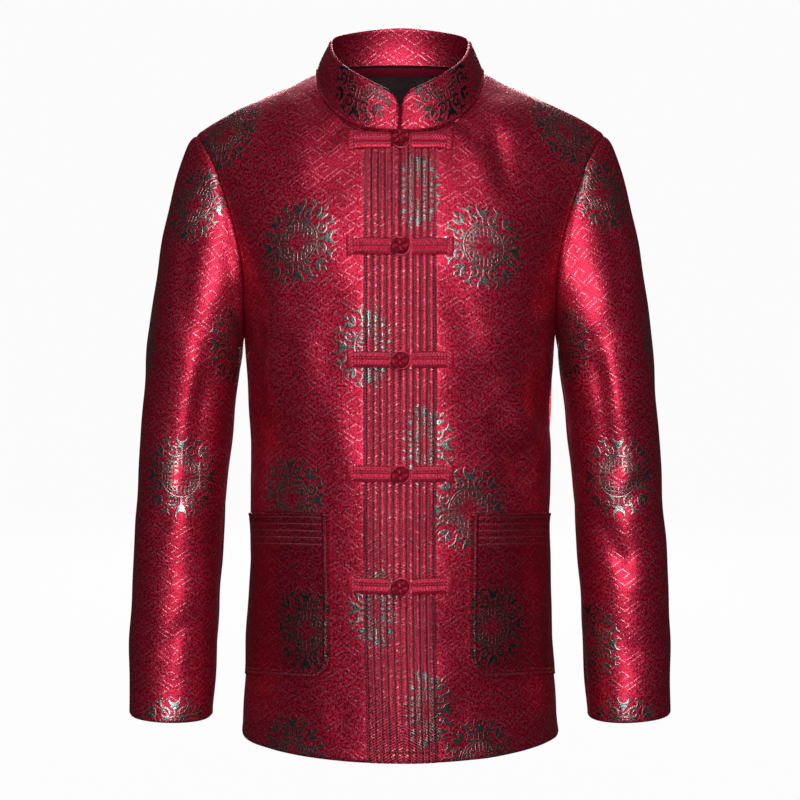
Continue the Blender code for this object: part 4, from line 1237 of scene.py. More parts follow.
# The satin of strips and cords, named as the brocade's numbers are.
STRIP_GRAIN, CORD_GRAIN, STRIP_CLOUD = 1100.0, 1500.0, 160.0
STRIP_SLANT, STRIP_STRETCH = 0.5, 0.6
STRIP_METAL, CORD_METAL = 0.55, 0.3
STRIP_GAIN, STRIP_LOSS, STRIP_DARK, STRIP_LIGHT = 3, 1.0, 0.45, 1.45
STRIP_CLOUD_GAIN, STRIP_CLOUD_LOSS, STRIP_CLOUD_LIGHT = 1.4, 0.4, 1.15
STRIP_GRAIN_RISE, STRIP_CLOUD_RISE, STRIP_PUCKER_RISE = 0.6, 1.2, 2.0
STRIP_SHADE, STRIP_SHADE_DARK, STRIP_THREAD = 0.5, 0.25, 0.7
STRIP_THREAD_COLOUR = (0.72, 0.20, 0.30, 1.0)
STRIP_ROUGH, STRIP_ROUGH_STEP, STRIP_RELIEF = 0.32, 0.16, 0.00022


def satin(name, colour, pitch, stitched, grain_scale=STRIP_GRAIN, metal=STRIP_METAL):
    """Plain satin of a strip or cord: a fine slanting grain, with stitches and painted shade in
    their grooves where asked.
    """
    paint = Paint(name, {"Specular IOR Level": SATIN_GLOSS, "Metallic": metal})
    u, v = paint.map_parts("cloth")
    slanted = paint.vector(u + v * STRIP_SLANT, v * STRIP_STRETCH)
    grain = paint.noise(slanted, grain_scale, 2.0, GRAIN_ROUGH)
    cloud = paint.noise(paint.vector(u, v), STRIP_CLOUD, 2.0)
    flecks = paint.share(grain * STRIP_GAIN - STRIP_LOSS)
    patches = paint.share(cloud * STRIP_CLOUD_GAIN - STRIP_CLOUD_LOSS)
    shade = paint.blend(flecks, rgba(colour, STRIP_DARK), rgba(colour, STRIP_LIGHT))
    shade = paint.blend(patches, shade, rgba(colour, STRIP_CLOUD_LIGHT))
    height = grain * STRIP_GRAIN_RISE + cloud * STRIP_CLOUD_RISE
    if stitched:
        thread, pucker, dark = stitch_marks(paint, pitch)
        # Painted shade in the stitched grooves of the strips, then the thread's own colour.
        shade = paint.blend(dark * STRIP_SHADE, shade, rgba(colour, STRIP_SHADE_DARK))
        shade = paint.blend(thread * STRIP_THREAD, shade, STRIP_THREAD_COLOUR)
        height = height + pucker * STRIP_PUCKER_RISE + thread * THREAD_RISE
    paint.relief(height, STRIP_RELIEF)
    rough = STRIP_ROUGH + grain * STRIP_ROUGH_STEP
    return paint.finish({"Base Color": shade, "Roughness": rough})


# The collar's satin is painted a little darker and its medallion yarn much darker: painted shade
# that keeps highlights off the collar.
COLLAR_SHADE, COLLAR_YARN_SHADE = 0.9, 0.3
# The pockets' satin and yarn are painted darker: painted shade, as for cloth turned away from the
# light.
POCKET_PULL, POCKET_SHADE, POCKET_YARN_SHADE = 0.25, 0.70, 0.6
FINISHES = {}


def finish_of(kind, context):
    """A finish by its kind, made once."""
    if kind in FINISHES:
        return FINISHES[kind]
    cut, colours = context.scene.jacket_cut, context.scene.jacket_colours
    pitch = cut.stitch_pitch
    makers = {
        "brocade": lambda: brocade("brocade", cut, colours, 0.0),
        "sewn brocade": lambda: brocade("brocade_sewn", cut, colours, 1.0),
        "collar": lambda: brocade(
            "brocade_collar", cut, colours, 0.0, COLLAR_SHADE, COLLAR_YARN_SHADE
        ),
        "pocket": lambda: brocade(
            "brocade_pocket", cut, colours, POCKET_PULL, POCKET_SHADE, POCKET_YARN_SHADE
        ),
        "lining": lambda: lining("lining", colours),
        "facing": lambda: satin("facing_satin", colours.facing, pitch, False),
        "strap": lambda: satin("frog_satin", colours.strap, pitch, True),
        "cord": lambda: satin("cord_satin", colours.cord, pitch, False, CORD_GRAIN, CORD_METAL),
    }
    FINISHES[kind] = makers[kind]()
    return FINISHES[kind]


def finishes_of(context, *kinds):
    """The finishes of a wall: its outer side, then its inner side and its trim."""
    return [finish_of(kind, context) for kind in kinds]


# Pieces

PANELS = {}

# The fronts' opening wanders to the wearer's left towards the hem.
OPENING_DRIFT = 0.0042
DRIFT_TOP_Z = -0.56
DRIFT_REACH = 0.075
DRIFT_POWER = 1.5
OPENING_CLOSE = 0.00045
OPENING_CLOSE_REACH = 0.004
# The tucks' height swells and sinks along them, each in its own time.
TUCK_SWELL, TUCK_SWELLS_A_METRE, TUCK_SWELL_SHIFT = 0.10, 9, 1.7
STITCH_STAGGER = 0.0011
HEM_STITCH = 0.013
HEM_STITCH_REACH = 0.0016


def front_grids(side, cut):
    """All grids of one front, side being +1 or -1. Across each tuck the cloth rises like a
    rope, (1 - |2 phase - 1| to the power TUCK_ROUND) to the power TUCK_SHOULDER."""
    stations = Stations(back=False)
    base, directions, u, v, heights = half_panel(stations, cut)
    if side < 0:
        base, directions = mirrored(base), mirrored(directions)
    swell = wave_heights(u * side, v) + crease_heights(base, "body")
    plain = base + (heights + cut.crease_depth * swell)[..., None] * directions
    phase, number = tuck_phase(stations)
    rope = np.maximum(0.0, 1 - np.abs(2 * phase - 1) ** TUCK_ROUND) ** TUCK_SHOULDER
    groove, tuck = np.zeros((2, base.shape[1]))
    groove[:len(phase)] = (cut.tuck_height + cut.groove_depth) * rope - cut.groove_depth
    tuck[:len(phase)] = number
    beat = 2 * np.pi * v * TUCK_SWELLS_A_METRE + tuck * TUCK_SWELL_SHIFT
    raised = groove * np.where(groove > 0, 1 + TUCK_SWELL * np.sin(beat), 1.0)
    low = clamp((DRIFT_TOP_Z - v) / (DRIFT_TOP_Z - HEM_Z)) ** DRIFT_POWER
    drift = OPENING_DRIFT * low * bell(u, DRIFT_REACH)
    plain[..., 0] += drift - side * OPENING_CLOSE * bell(u, OPENING_CLOSE_REACH)
    return {
        "stations": stations, "base": base, "plain": plain, "directions": directions,
        "outer": plain + raised[..., None] * directions, "u": u, "v": v,
    }


def front_maps(grids, side, cut):
    """Cloth, medallion and stitch coordinates of a front's cells. Over the tucks the
    cloth coordinate jumps at each groove by the cloth that the tuck takes up."""
    u, v, band = grids["u"], grids["v"], len(grids["stations"].band)
    jump = np.zeros(u.shape[1] - 1)
    jump[:band] = np.arange(band) // TUCK_COLUMNS - TUCKS
    uv = corner_values(np.stack([u * side, v], axis=-1))
    uv[..., 0] += side * jump[None, :, None] * cut.tuck_take_up
    centres = medallion_centres("front", grids["base"], uv_grid(uv, 0), uv_grid(uv, 1), side)
    stitch = np.full_like(uv, FAR)
    from_first = (corner_values(u) - FRONT_OPENING / 2) / TUCK_PITCH
    groove = np.round(from_first.mean(axis=2, keepdims=True))[:, :band]
    stitch[:, :band, :, 0] = (from_first[:, :band] - groove) * TUCK_PITCH
    stitch[:, :band, :, 1] = uv[:, :band, :, 1] + groove * STITCH_STAGGER
    stitch[:, band, :, 0] = (from_first[:, band] - TUCKS) * TUCK_PITCH
    stitch[:, band, :, 1] = uv[:, band, :, 1]
    hem_row = np.stack([uv[..., 1] - HEM_Z - HEM_STITCH, uv[..., 0]], axis=-1)
    low = np.abs(uv[..., 1].mean(axis=2) - HEM_Z - HEM_STITCH) < HEM_STITCH_REACH
    low[:, band:] = False
    stitch[low] = hem_row[low]
    return {"cloth": uv, "medallion": medallion_map(uv, centres), "stitch": stitch}


def uv_grid(corners, part):
    """One coordinate of a grid's points from its cells' first corners."""
    first = corners[:, :, 0, part]
    last = np.concatenate((first, corners[:, -1:, 1, part]), axis=1)
    top = np.concatenate((corners[-1:, :, 3, part], corners[-1:, -1:, 2, part]), axis=1)
    return np.concatenate((last, top), axis=0)


def make_fronts(context):
    """Two fronts with five pin tucks each beside the opening."""
    cut = context.scene.jacket_cut
    finishes = finishes_of(context, "sewn brocade", "lining")
    for side, node in ((1, "front_left"), (-1, "front_right")):
        grids = PANELS[side] = front_grids(side, cut)
        inner = grids["plain"] - WALL * grids["directions"]
        maps = front_maps(grids, side, cut)
        piece = wall(f"{node}_cloth", grids["outer"], inner, maps, finishes, node)
        declare_cloth(grids["base"])


def make_back(context):
    """The back in one piece, folded out from its +X half, and the facing in its neck."""
    cut = context.scene.jacket_cut
    base, directions, u, v, heights = half_panel(Stations(back=True), cut)

    def unfolded(grid, turn):
        return np.hstack((turn(grid)[:, :0:-1], grid))

    base, directions = unfolded(base, mirrored), unfolded(directions, mirrored)
    u, v, heights = unfolded(u, np.negative), unfolded(v, np.array), unfolded(heights, np.array)
    swell = wave_heights(u + BACK_WAVE_SHIFT, v) + crease_heights(base, "body")
    outer = base + (heights + cut.crease_depth * swell)[..., None] * directions
    inner = outer - WALL * directions
    uv = corner_values(np.stack([u, v], axis=-1))
    maps = {"cloth": uv, "medallion": medallion_map(uv, medallion_centres("back", base, u, v))}
    finishes = finishes_of(context, "brocade", "lining")
    piece = wall("back_cloth", outer, inner, maps, finishes, "back")
    declare_cloth(base)
    make_facing(context, inner, directions)


FACING_BOTTOM = 0.0168
FACING_TOP = 0.0021
FACING_EDGE = 0.6


def make_facing(context, inner, directions):
    """The facing strip inside the back neck, on the back's own inner points: its thickness
    bulges as a sine from edge to edge."""
    middle = inner.shape[1] // 2
    columns = slice(middle - NEAR_COLUMNS + 1, middle + NEAR_COLUMNS)
    below = np.linalg.norm(inner[-1] - inner, axis=-1)[:, middle]
    rows = np.flatnonzero((below < FACING_BOTTOM) & (below > FACING_TOP))
    out = directions[rows][:, columns]
    outer = inner[rows][:, columns] - FACING_GAP * out
    belly = np.sin(np.linspace(0, np.pi, len(rows)))[:, None, None]
    thick = FACING_WALL * (FACING_EDGE + (1 - FACING_EDGE) * belly)
    uv = corner_values(outer[..., [0, 2]])
    piece = wall(
        "back_neck_facing_cloth", outer, outer - thick * out, {"cloth": uv},
        finishes_of(context, "facing"), "back_neck_facing",
    )
    declare_cloth(outer)


SLEEVE_COLUMNS = 150
CAP_ROWS = 70
TUBE_ROWS = 150
CUFF_ROWS = (0.0028, 0.0016, 0.0007, 0.0)
CAP_FULLNESS = (0.0006, 0.012, 0.009)
CAP_PROBE = 0.02
# Where the slow waves are read for each piece, so that no two pieces match.
BACK_WAVE_SHIFT = 0.5
SLEEVE_WAVE_SHIFT = 2.0


def sleeve_ring(z, shares):
    """A level ring of the +X sleeve at shares of its girth, from its inner side forward:
    a superellipse between the inner and the outer side."""
    inner_x, outer_x, half_depth, middle_y = [
        table_read(SLEEVE, "z", name, z) for name in SleeveRing._fields[1:]
    ]
    angle = np.linspace(0.0, 2 * np.pi, RING_STEPS)
    across = np.sign(np.cos(angle)) * np.abs(np.cos(angle)) ** (2 / SLEEVE_POWER)
    along = np.sign(np.sin(angle)) * np.abs(np.sin(angle)) ** (2 / SLEEVE_POWER)
    x = (inner_x + outer_x) / 2 - (outer_x - inner_x) / 2 * across
    y = middle_y - half_depth * along
    line = np.stack([x, y, np.full_like(x, z)], axis=1)
    lengths = length_along(line)
    return read_along(line, lengths, np.asarray(shares) * lengths[-1])


def sleeve_base():
    """Plain points of the +X sleeve, rows from the armhole to the cuff, its seam
    directions and binormals: cubic columns for the cap, then level rings."""
    ring = armhole_ring()
    directions, binormals = armhole_edge(ring)
    stack = np.hstack((ring, directions, binormals))
    closed = np.vstack((stack, stack[:1]))
    lengths = length_along(closed[:, :3])
    shares = np.arange(SLEEVE_COLUMNS) / SLEEVE_COLUMNS
    stack = read_along(closed, lengths, shares * lengths[-1])
    ring, directions, binormals = stack[:, :3], unit(stack[:, 3:6]), unit(stack[:, 6:])
    end = sleeve_ring(CAP_END_Z, shares)
    arrive = unit(sleeve_ring(CAP_END_Z - CAP_PROBE, shares) - end)
    reach = np.linalg.norm(end - ring, axis=1, keepdims=True)
    place = 1 - np.abs(1 - shares * 2)
    forward = np.where(shares > 0.5, 1.0, -1.0)
    out, ahead, down = [
        table_read(LEAVINGS, "share", name, place) for name in ("out", "forward", "down")
    ]
    leave = unit(np.stack([out, forward * ahead, -down], axis=1))
    pull = table_read(LEAVINGS, "share", "pull", place)[:, None]
    steps = np.linspace(0.0, 1.0, CAP_ROWS)
    cap = hermite(ring, leave * pull * reach, end, arrive * reach, steps)
    levels = np.linspace(CAP_END_Z, CUFF_Z + CUFF_ROWS[0], TUBE_ROWS)[1:-1]
    levels = np.concatenate((levels, CUFF_Z + np.array(CUFF_ROWS)))
    tube_rows = np.stack([sleeve_ring(z, shares) for z in levels])
    girth_x = tube_rows[-1, :, 0]
    lean = (girth_x - girth_x.min()) / np.ptp(girth_x)
    fade = clamp((CUFF_TILT_Z - levels) / (CUFF_TILT_Z - CUFF_Z))
    tube_rows[..., 2] += CUFF_RISE * lean[None] * fade[:, None]
    return np.concatenate((cap, tube_rows)), directions, binormals


def make_sleeves(context):
    """Two set-in sleeves that hang beside the body, a little fuller just past the seam."""
    cut = context.scene.jacket_cut
    finishes = finishes_of(context, "brocade", "lining")
    for side, hand in ((1, "left"), (-1, "right")):
        base, directions, binormals = sleeve_base()
        down = running(base, 0)
        normals = grid_normals(base[::-1], closed=True)[::-1]
        if np.sum(normals[-1] * (base[-1] - base[-1].mean(axis=0))) < 0:
            normals = -normals
        weight = bell(down, SEAM_BLEND)[..., None]
        normals = unit(normals * (1 - weight) + directions[None] * weight)
        base[0] += binormals * SEAM_GAP / 2
        u = running(closed_round(base), 1)
        u = (u - u[:, -1:] / 2) * side
        v = CUFF_Z + down[-1:] - down
        if side < 0:
            base, normals = mirrored(base), mirrored(normals)
        heights = bump(down, CAP_FULLNESS) - cut.seam_dip * bell(down, SIDE_DIP_REACH)
        heights -= EDGE_ROLL * rolled(v - CUFF_Z, EDGE_ROLL_REACH)
        swell = wave_heights(u[:, :-1] + SLEEVE_WAVE_SHIFT, v) + crease_heights(base, "sleeve")
        heights += cut.crease_depth * swell * (1 - bell(down, SEAM_BLEND))
        outer = base + heights[..., None] * normals
        uv = corner_values(np.stack([u, closed_round(v)], axis=-1))
        centres = medallion_centres("sleeve", base, u[:, :-1], v, side)
        maps = {"cloth": uv, "medallion": medallion_map(uv, centres)}
        node = f"sleeve_{hand}"
        piece = wall(
            f"{node}_cloth", outer, outer - WALL * normals, maps, finishes, node,
            closed=True,
        )
        declare_cloth(base, closed=True)


# The collar: a rolled edge, a piped seam, and a low swell beside the edge.
COLLAR_CORNER_COLUMNS = 22
COLLAR_FRONT_COLUMNS = 80
COLLAR_BACK_COLUMNS = 60
COLLAR_ROWS = 26
COLLAR_ROW_CROWDING = 0.045
COLLAR_ROLL, COLLAR_ROLL_REACH = 0.0011, 0.0026
COLLAR_PIPE = (0.0017, 0.0014, 0.0012)
COLLAR_EDGE_SWELL = (0.0004, 0.0045, 0.0022)
COLLAR_WAVES = 0.8


def collar_half(back):
    """Lower edge, top edge and seam directions of the collar, from centre to side."""
    line = neckline(back)
    lengths = length_along(line)
    directions, binormals = neck_edge(line)
    top_depth = COLLAR_TOP_BACK_DEPTH if back else -COLLAR_TOP_FRONT_DEPTH
    top = quarter(COLLAR_TOP_HALF_WIDTH, top_depth, NECK_POWER)
    top_lengths = length_along(top)
    share = top_lengths / top_lengths[-1]
    if back:
        rise = share ** COLLAR_BACK_POWER
        top[:, 2] = COLLAR_TOP_BACK_Z + (COLLAR_TOP_SIDE_Z - COLLAR_TOP_BACK_Z) * rise
        wanted = np.linspace(0.0, lengths[-1], COLLAR_BACK_COLUMNS)
    else:
        top[:, 2] = COLLAR_TOP_FRONT_Z + (COLLAR_TOP_SIDE_Z - COLLAR_TOP_FRONT_Z) * share
        turn = np.linspace(0.0, np.pi / 2, COLLAR_CORNER_COLUMNS)
        corner = FRONT_OPENING / 2 + COLLAR_CORNER * (1 - np.cos(turn))
        rest = np.linspace(corner[-1], lengths[-1], COLLAR_FRONT_COLUMNS)[1:]
        wanted = np.concatenate((corner, rest))
    return {
        "low": read_along(line, lengths, wanted),
        "high": read_along(top, share, wanted / lengths[-1]),
        "direction": unit(read_along(directions, lengths, wanted)),
        "binormal": unit(read_along(binormals, lengths, wanted)),
        "wanted": wanted,
    }


def make_collar(context):
    """The stand collar in one band: straight columns from the neckline to the top edge
    with a slight belly, rounded front corners, a rolled top edge and a piped seam."""
    front, back = collar_half(back=False), collar_half(back=True)
    height = np.linalg.norm(front["high"] - front["low"], axis=1)
    missing = corner_cut(front["wanted"] - FRONT_OPENING / 2, COLLAR_CORNER)
    kept = (1 - missing / height)[:, None]
    front["high"] = front["low"] + (front["high"] - front["low"]) * kept
    whole = {}
    for key in ("low", "high", "direction", "binormal"):
        half = np.vstack((front[key], back[key][-2::-1]))
        whole[key] = np.vstack((half, mirrored(half)[-2::-1]))
    turn = np.linspace(0.0, 1.0, COLLAR_ROWS)
    steps = (turn - COLLAR_ROW_CROWDING * np.sin(2 * np.pi * turn))[:, None, None]
    base = whole["low"] + (whole["high"] - whole["low"]) * steps
    normals = grid_normals(base)
    normals *= np.sign(np.sum(normals[1, 0, :2] * base[1, 0, :2]))
    base = base + COLLAR_BELLY * np.sin(np.pi * steps) * normals
    up = running(base, 0)
    run = np.tile(running(base, 1)[1], (len(up), 1))
    weight = bell(up, SEAM_BLEND)[..., None]
    normals = unit(normals * (1 - weight) + whole["direction"][None] * weight)
    base[0] += whole["binormal"] * SEAM_GAP / 2

    edge = np.minimum(up[-1:] - up, np.minimum(run, run[:, -1:] - run))
    roll = COLLAR_ROLL * rolled(edge, COLLAR_ROLL_REACH)
    heights = -roll + bump(up, COLLAR_PIPE)
    heights += wave_heights(run, up * 2.0) * COLLAR_WAVES
    heights += bump(edge, COLLAR_EDGE_SWELL)
    outer = base + heights[..., None] * normals
    inner = base - (COLLAR_WALL - roll)[..., None] * normals
    u = run - run[:, -1:] / 2
    uv = corner_values(np.stack([u, up], axis=-1))
    maps = {"cloth": uv, "medallion": medallion_map(uv, medallion_centres("collar", base, u, up))}
    finishes = finishes_of(context, "collar")
    piece = wall("collar_cloth", outer, inner, maps, finishes, "collar")
    declare_cloth(base)


def grid_read(stack, columns, levels):
    """A grid of stacked values, its third one being z, at fractional columns and levels."""
    low = np.clip(np.floor(columns).astype(int), 0, stack.shape[1] - 2)
    share = (columns - low)[None, :, None]
    lines = stack[:, low] * (1 - share) + stack[:, low + 1] * share
    result = np.empty((levels.shape[0], len(columns), stack.shape[2]))
    for place in range(len(columns)):
        line = lines[:, place]
        rising = np.searchsorted(line[:, 2], levels[:, place]).clip(1, len(line) - 1)
        low_z = line[rising - 1, 2]
        step = ((levels[:, place] - low_z) / (line[rising, 2] - low_z))[:, None]
        result[:, place] = line[rising - 1] * (1 - step) + line[rising] * step
    return result


def panel_stack(side, layer):
    """A layer of a front's points, with its directions and cloth coordinates behind them."""
    grids = PANELS[side]
    uv = np.stack([grids["u"] * side, grids["v"]], axis=-1)
    return np.concatenate((grids[layer], grids["directions"], uv), axis=2)


def nearest_line(gaps):
    """From the distances of each cell's corners to several lines, those to its nearest."""
    nearest = np.abs(gaps.mean(axis=2)).argmin(axis=-1)
    return np.take_along_axis(gaps, nearest[:, :, None, None], axis=-1)[..., 0]


# The pockets: steps of the grid, double ridge, grooves, lip, puff, rolled edge and stitches.
POCKET_START = 0.0757
POCKET_LEVEL_Z = -0.600
POCKET_SIDE_STANDOFF = 0.0085
POCKET_COLUMNS = 90
POCKET_ROWS = 130
POCKET_COLUMN_CROWDING = 0.45
POCKET_ROW_CROWDING = 0.35
POCKET_RIDGE, POCKET_RIDGE_AT, POCKET_RIDGE_REACH = 0.0017, 0.0014, 0.0013
POCKET_RIDGE_PITCH = 0.0040
POCKET_SECOND_RIDGE, POCKET_SECOND_REACH = 0.8, 0.0014
POCKET_GROOVE, POCKET_GROOVE_REACH, POCKET_GROOVE_END = 0.0004, 0.0009, 0.002
POCKET_LIP = (0.0006, 0.001, 0.0020)
POCKET_PUFF = (0.0012, 0.0, 0.012)
POCKET_ROLL, POCKET_ROLL_REACH = 0.0007, 0.0012
POCKET_THIN, POCKET_FADE = 0.0006, 0.030
POCKET_STAND, POCKET_STAND_REACH = 0.0022, 0.008
POCKET_TRIM = 0.0031
POCKET_STITCH_ROWS = np.array((0.0042, 0.0118, 0.0190, 0.0262, 0.0334))
POCKET_STITCH_INSET = 0.0085
POCKET_STITCH_REACH = 0.003
RIM_STITCH_REACH = 0.002


def pocket_plan(lengths):
    """A pocket's columns and levels on a front whose row has these lengths, with each
    point's way in from the inner side, up from the square bottom and down from the top.
    Top and bottom drop towards the side seam, and the lower inner corner is round."""
    turn = np.linspace(0.0, 1.0, POCKET_COLUMNS)
    reach = lengths[-1] - POCKET_SIDE_STANDOFF - POCKET_START
    even = (1 - POCKET_COLUMN_CROWDING) * turn
    place = reach * (even + POCKET_COLUMN_CROWDING * turn ** 2)
    drop = (place / reach) ** POCKET_DROP_POWER
    top = POCKET_TOP_Z - POCKET_SIDE_DROP * drop
    corner = corner_cut(place, POCKET_CORNER)
    bottom = POCKET_BOTTOM_Z - POCKET_BOTTOM_DROP * drop + corner
    rise = np.linspace(0.0, 1.0, POCKET_ROWS)
    crowded = (0.5 - 0.5 * np.cos(np.pi * rise)) * POCKET_ROW_CROWDING
    rise = crowded + rise * (1 - POCKET_ROW_CROWDING)
    levels = bottom[None] + (top - bottom)[None] * rise[:, None]
    return {
        "columns": np.interp(POCKET_START + place, lengths, np.arange(len(lengths))),
        "levels": levels,
        "inward": np.tile(place, (POCKET_ROWS, 1)),
        "upward": levels - (bottom - corner)[None],
        "from_top": top[None] - levels,
        "belly": np.sin(np.pi * turn)[None],
        "fade": clamp((reach - place) / POCKET_FADE)[None],
    }


def pocket_rim(plan):
    """Distance to the free edge: to the nearer of the inner side and the bottom, and in
    their corner the radius less the distance to the corner's middle."""
    ways = np.stack((plan["inward"], plan["upward"]))
    round_off = POCKET_CORNER - np.hypot(*np.maximum(POCKET_CORNER - ways, 0))
    return np.maximum(np.minimum(np.minimum(*ways), round_off), 0.0)


def pocket_thickness(plan, rim, gaps):
    """The wall, a double ridge along the rim, five sewn grooves under the top edge, and a
    lip that puffs at the top, thinning out towards the side seam."""
    from_top = plan["from_top"]
    second = bell(rim - POCKET_RIDGE_AT - POCKET_RIDGE_PITCH, POCKET_SECOND_REACH)
    ridge = POCKET_RIDGE * (
        bell(rim - POCKET_RIDGE_AT, POCKET_RIDGE_REACH) + POCKET_SECOND_RIDGE * second
    )
    ribs = -POCKET_GROOVE * bell(gaps, POCKET_GROOVE_REACH).sum(axis=-1)
    past = plan["inward"] - POCKET_STITCH_INSET + POCKET_GROOVE_END
    puff = bump(from_top, POCKET_LIP) + bump(from_top, POCKET_PUFF)
    thick = POCKET_WALL + ridge + ribs * clamp(past / POCKET_GROOVE_END) + puff
    thick = thick - POCKET_ROLL * rolled(np.minimum(rim, from_top), POCKET_ROLL_REACH)
    return POCKET_THIN + (thick - POCKET_THIN) * plan["fade"]


def pocket_stitches(plan, rim, gaps, cells):
    """Stitch coordinates of the line between the ridges and of the rows under the top."""
    stitch = np.full_like(cells, FAR)
    rim_gap = corner_values(rim) - POCKET_RIDGE_AT - POCKET_RIDGE_PITCH / 2
    by_rim = np.abs(rim_gap).max(axis=2) < RIM_STITCH_REACH
    run = corner_values(plan["inward"] + plan["levels"])
    row_gap = nearest_line(corner_values(gaps))
    by_row = np.abs(row_gap).max(axis=2) < POCKET_STITCH_REACH
    by_row &= corner_values(plan["inward"]).mean(axis=2) > POCKET_STITCH_INSET
    for shown, line in ((by_rim, (rim_gap, run)), (by_row, (row_gap, cells[..., 0]))):
        stitch[shown] = np.stack(line, axis=-1)[shown]
    return stitch


def make_pockets(context):
    """Two patch pockets, made from the front's own points moved out along its directions,
    with a top edge that stands a little off the front."""
    finishes = finishes_of(context, "pocket", "lining", "sewn brocade")
    for side, hand in ((1, "left"), (-1, "right")):
        grids = PANELS[side]
        row = int(np.argmin(np.abs(grids["base"][:, 0, 2] - POCKET_LEVEL_Z)))
        plan = pocket_plan(grids["u"][row])
        found = grid_read(panel_stack(side, "outer"), plan["columns"], plan["levels"])
        under, out, uv = found[..., :3], unit(found[..., 3:6]), found[..., 6:]
        rim = pocket_rim(plan)
        gaps = plan["from_top"][..., None] - POCKET_STITCH_ROWS
        stand = bell(plan["from_top"], POCKET_STAND_REACH) * plan["belly"] * plan["fade"]
        inner = under + (POCKET_GAP + POCKET_STAND * stand)[..., None] * out
        outer = inner + pocket_thickness(plan, rim, gaps)[..., None] * out
        cells = corner_values(uv)
        centres = medallion_centres("pocket", outer, uv[..., 0], uv[..., 1], side)
        maps = {
            "cloth": cells,
            "medallion": medallion_map(cells, centres),
            "stitch": pocket_stitches(plan, rim, gaps, cells),
        }
        # The rim is sewn brocade at full brightness beside the pocket's painted shade, so it reads
        # as a lit edge; it also carries the rim's stitches.
        trim = corner_values(rim).mean(axis=2) < POCKET_TRIM
        node = f"pocket_{hand}"
        piece = wall(
            f"{node}_cloth", outer, inner, maps, finishes, node, trim=trim
        )
        declare_cloth(under)


# The straps: two strips that swell and crimp, a small arch, and a folded tab at the end.
STRAP_ROWS = 30
STRAP_COLUMNS, TAB_COLUMNS = 64, 16
STRAP_BODY_END, TAB_START = 0.0003, 0.0002
STRIP_MIDDLE = 0.25
STRIP_BASE, STRIP_THICK, STRIP_ROUND = 0.0009, 0.0026, 0.45
STRIP_CRIMP, STRIP_CRIMP_PITCH = 0.05, 0.0052
STRAP_ARCH = 0.0009
STRAP_STEP_AT, STRAP_STEP_REACH = 0.001, 0.005
TAB_BASE, TAB_THICK, TAB_EDGE_ROUND, TAB_RIM = 0.0012, 0.0019, 0.35, 0.25
TAB_FOLD_LOW, TAB_FOLD_RISE, TAB_FOLD_ROUND = 0.55, 0.75, 0.6
TAB_PINCH, TAB_PINCH_REACH = 0.20, 0.06
STRAP_STITCH_ROWS = np.array([0.0019, -0.0042, 0.0066])
TAB_STITCH = 0.0016


def strap_thickness(distances, across, tab, side):
    """Two pillows side by side up to the tab, and a fold laid across them on it: powers of
    the distance to each strip's edges, and a sine along the tab pinched at its middle."""
    strip = 1 - np.abs(np.abs(across) - STRIP_MIDDLE) / STRIP_MIDDLE
    pillow = clamp(strip) ** STRIP_ROUND
    crimp = 1 + STRIP_CRIMP * np.sin(2 * np.pi * distances / STRIP_CRIMP_PITCH + side)
    strips = STRIP_BASE + STRIP_THICK * pillow[:, None] * crimp[None]
    edge = clamp(1 - np.abs(across) * 2) ** TAB_EDGE_ROUND
    bulge = np.sin(np.pi * clamp((distances - tab) / STRAP_TAB)) ** TAB_FOLD_ROUND
    fold = TAB_THICK * (TAB_FOLD_LOW + TAB_FOLD_RISE * bulge)
    pinched = edge * (1 - TAB_PINCH * bell(across, TAB_PINCH_REACH))
    tabs = fold[None] * np.maximum(pinched, TAB_RIM)[:, None] + TAB_BASE
    return np.where((distances > tab)[None], tabs, strips)


def make_strap(context, name, side, start, z):
    """A frog's strap. Across its height two folded strips swell like pillows with a
    groove between them; along its length it ends in a tab, a fold laid across the end."""
    grids = PANELS[side]
    tab = STRAP_END - STRAP_TAB
    body = np.linspace(start, tab - STRAP_BODY_END, STRAP_COLUMNS)
    ends = np.linspace(tab + TAB_START, STRAP_END, TAB_COLUMNS)
    distances = np.concatenate((body, ends))
    every = np.arange(grids["u"].shape[1])
    level_line = grid_read(grids["base"], every.astype(float), np.full((1, len(every)), z))[0]
    columns = np.interp(distances, FRONT_OPENING / 2 + length_along(level_line), every)
    across = np.linspace(-0.5, 0.5, STRAP_ROWS)
    height = STRAP_HEIGHT * np.where(distances > tab, STRAP_FLARE, 1.0)
    arch = STRAP_ARCH * np.sin(np.pi * clamp((distances - start) / (tab - start)))
    upper_half = np.maximum(across, 0.0)
    levels = z + height[None] * across[:, None] + arch[None] * upper_half[:, None] * 2
    found = grid_read(panel_stack(side, "plain"), columns, levels)
    under, out = found[..., :3], unit(found[..., 3:6])

    past_band = clamp((distances - BAND_WIDTH - STRAP_STEP_AT) / STRAP_STEP_REACH)
    lift = FROG_LIFT + context.scene.jacket_cut.tuck_height * (1 - past_band)
    inner = under + lift[None, :, None] * out
    outer = inner + strap_thickness(distances, across, tab, side)[..., None] * out

    run = np.tile(distances[None], (STRAP_ROWS, 1))
    rise = np.tile(across[:, None] * STRAP_HEIGHT, (1, len(distances)))
    cells = corner_values(np.stack([run, rise], axis=-1))
    gap = nearest_line(cells[..., 1][..., None] - STRAP_STITCH_ROWS)
    stitch = np.stack([gap, cells[..., 0]], axis=-1)
    on_tab = cells[..., 0].mean(axis=2) > tab
    across_tab = np.stack([cells[..., 0] - tab - TAB_STITCH, cells[..., 1]], axis=-1)
    stitch[on_tab] = across_tab[on_tab]
    maps = {"cloth": cells + z, "stitch": stitch}
    finishes = finishes_of(context, "strap")
    piece = wall(f"{name}_cloth", outer, inner, maps, finishes, name)
    declare_cloth(under)


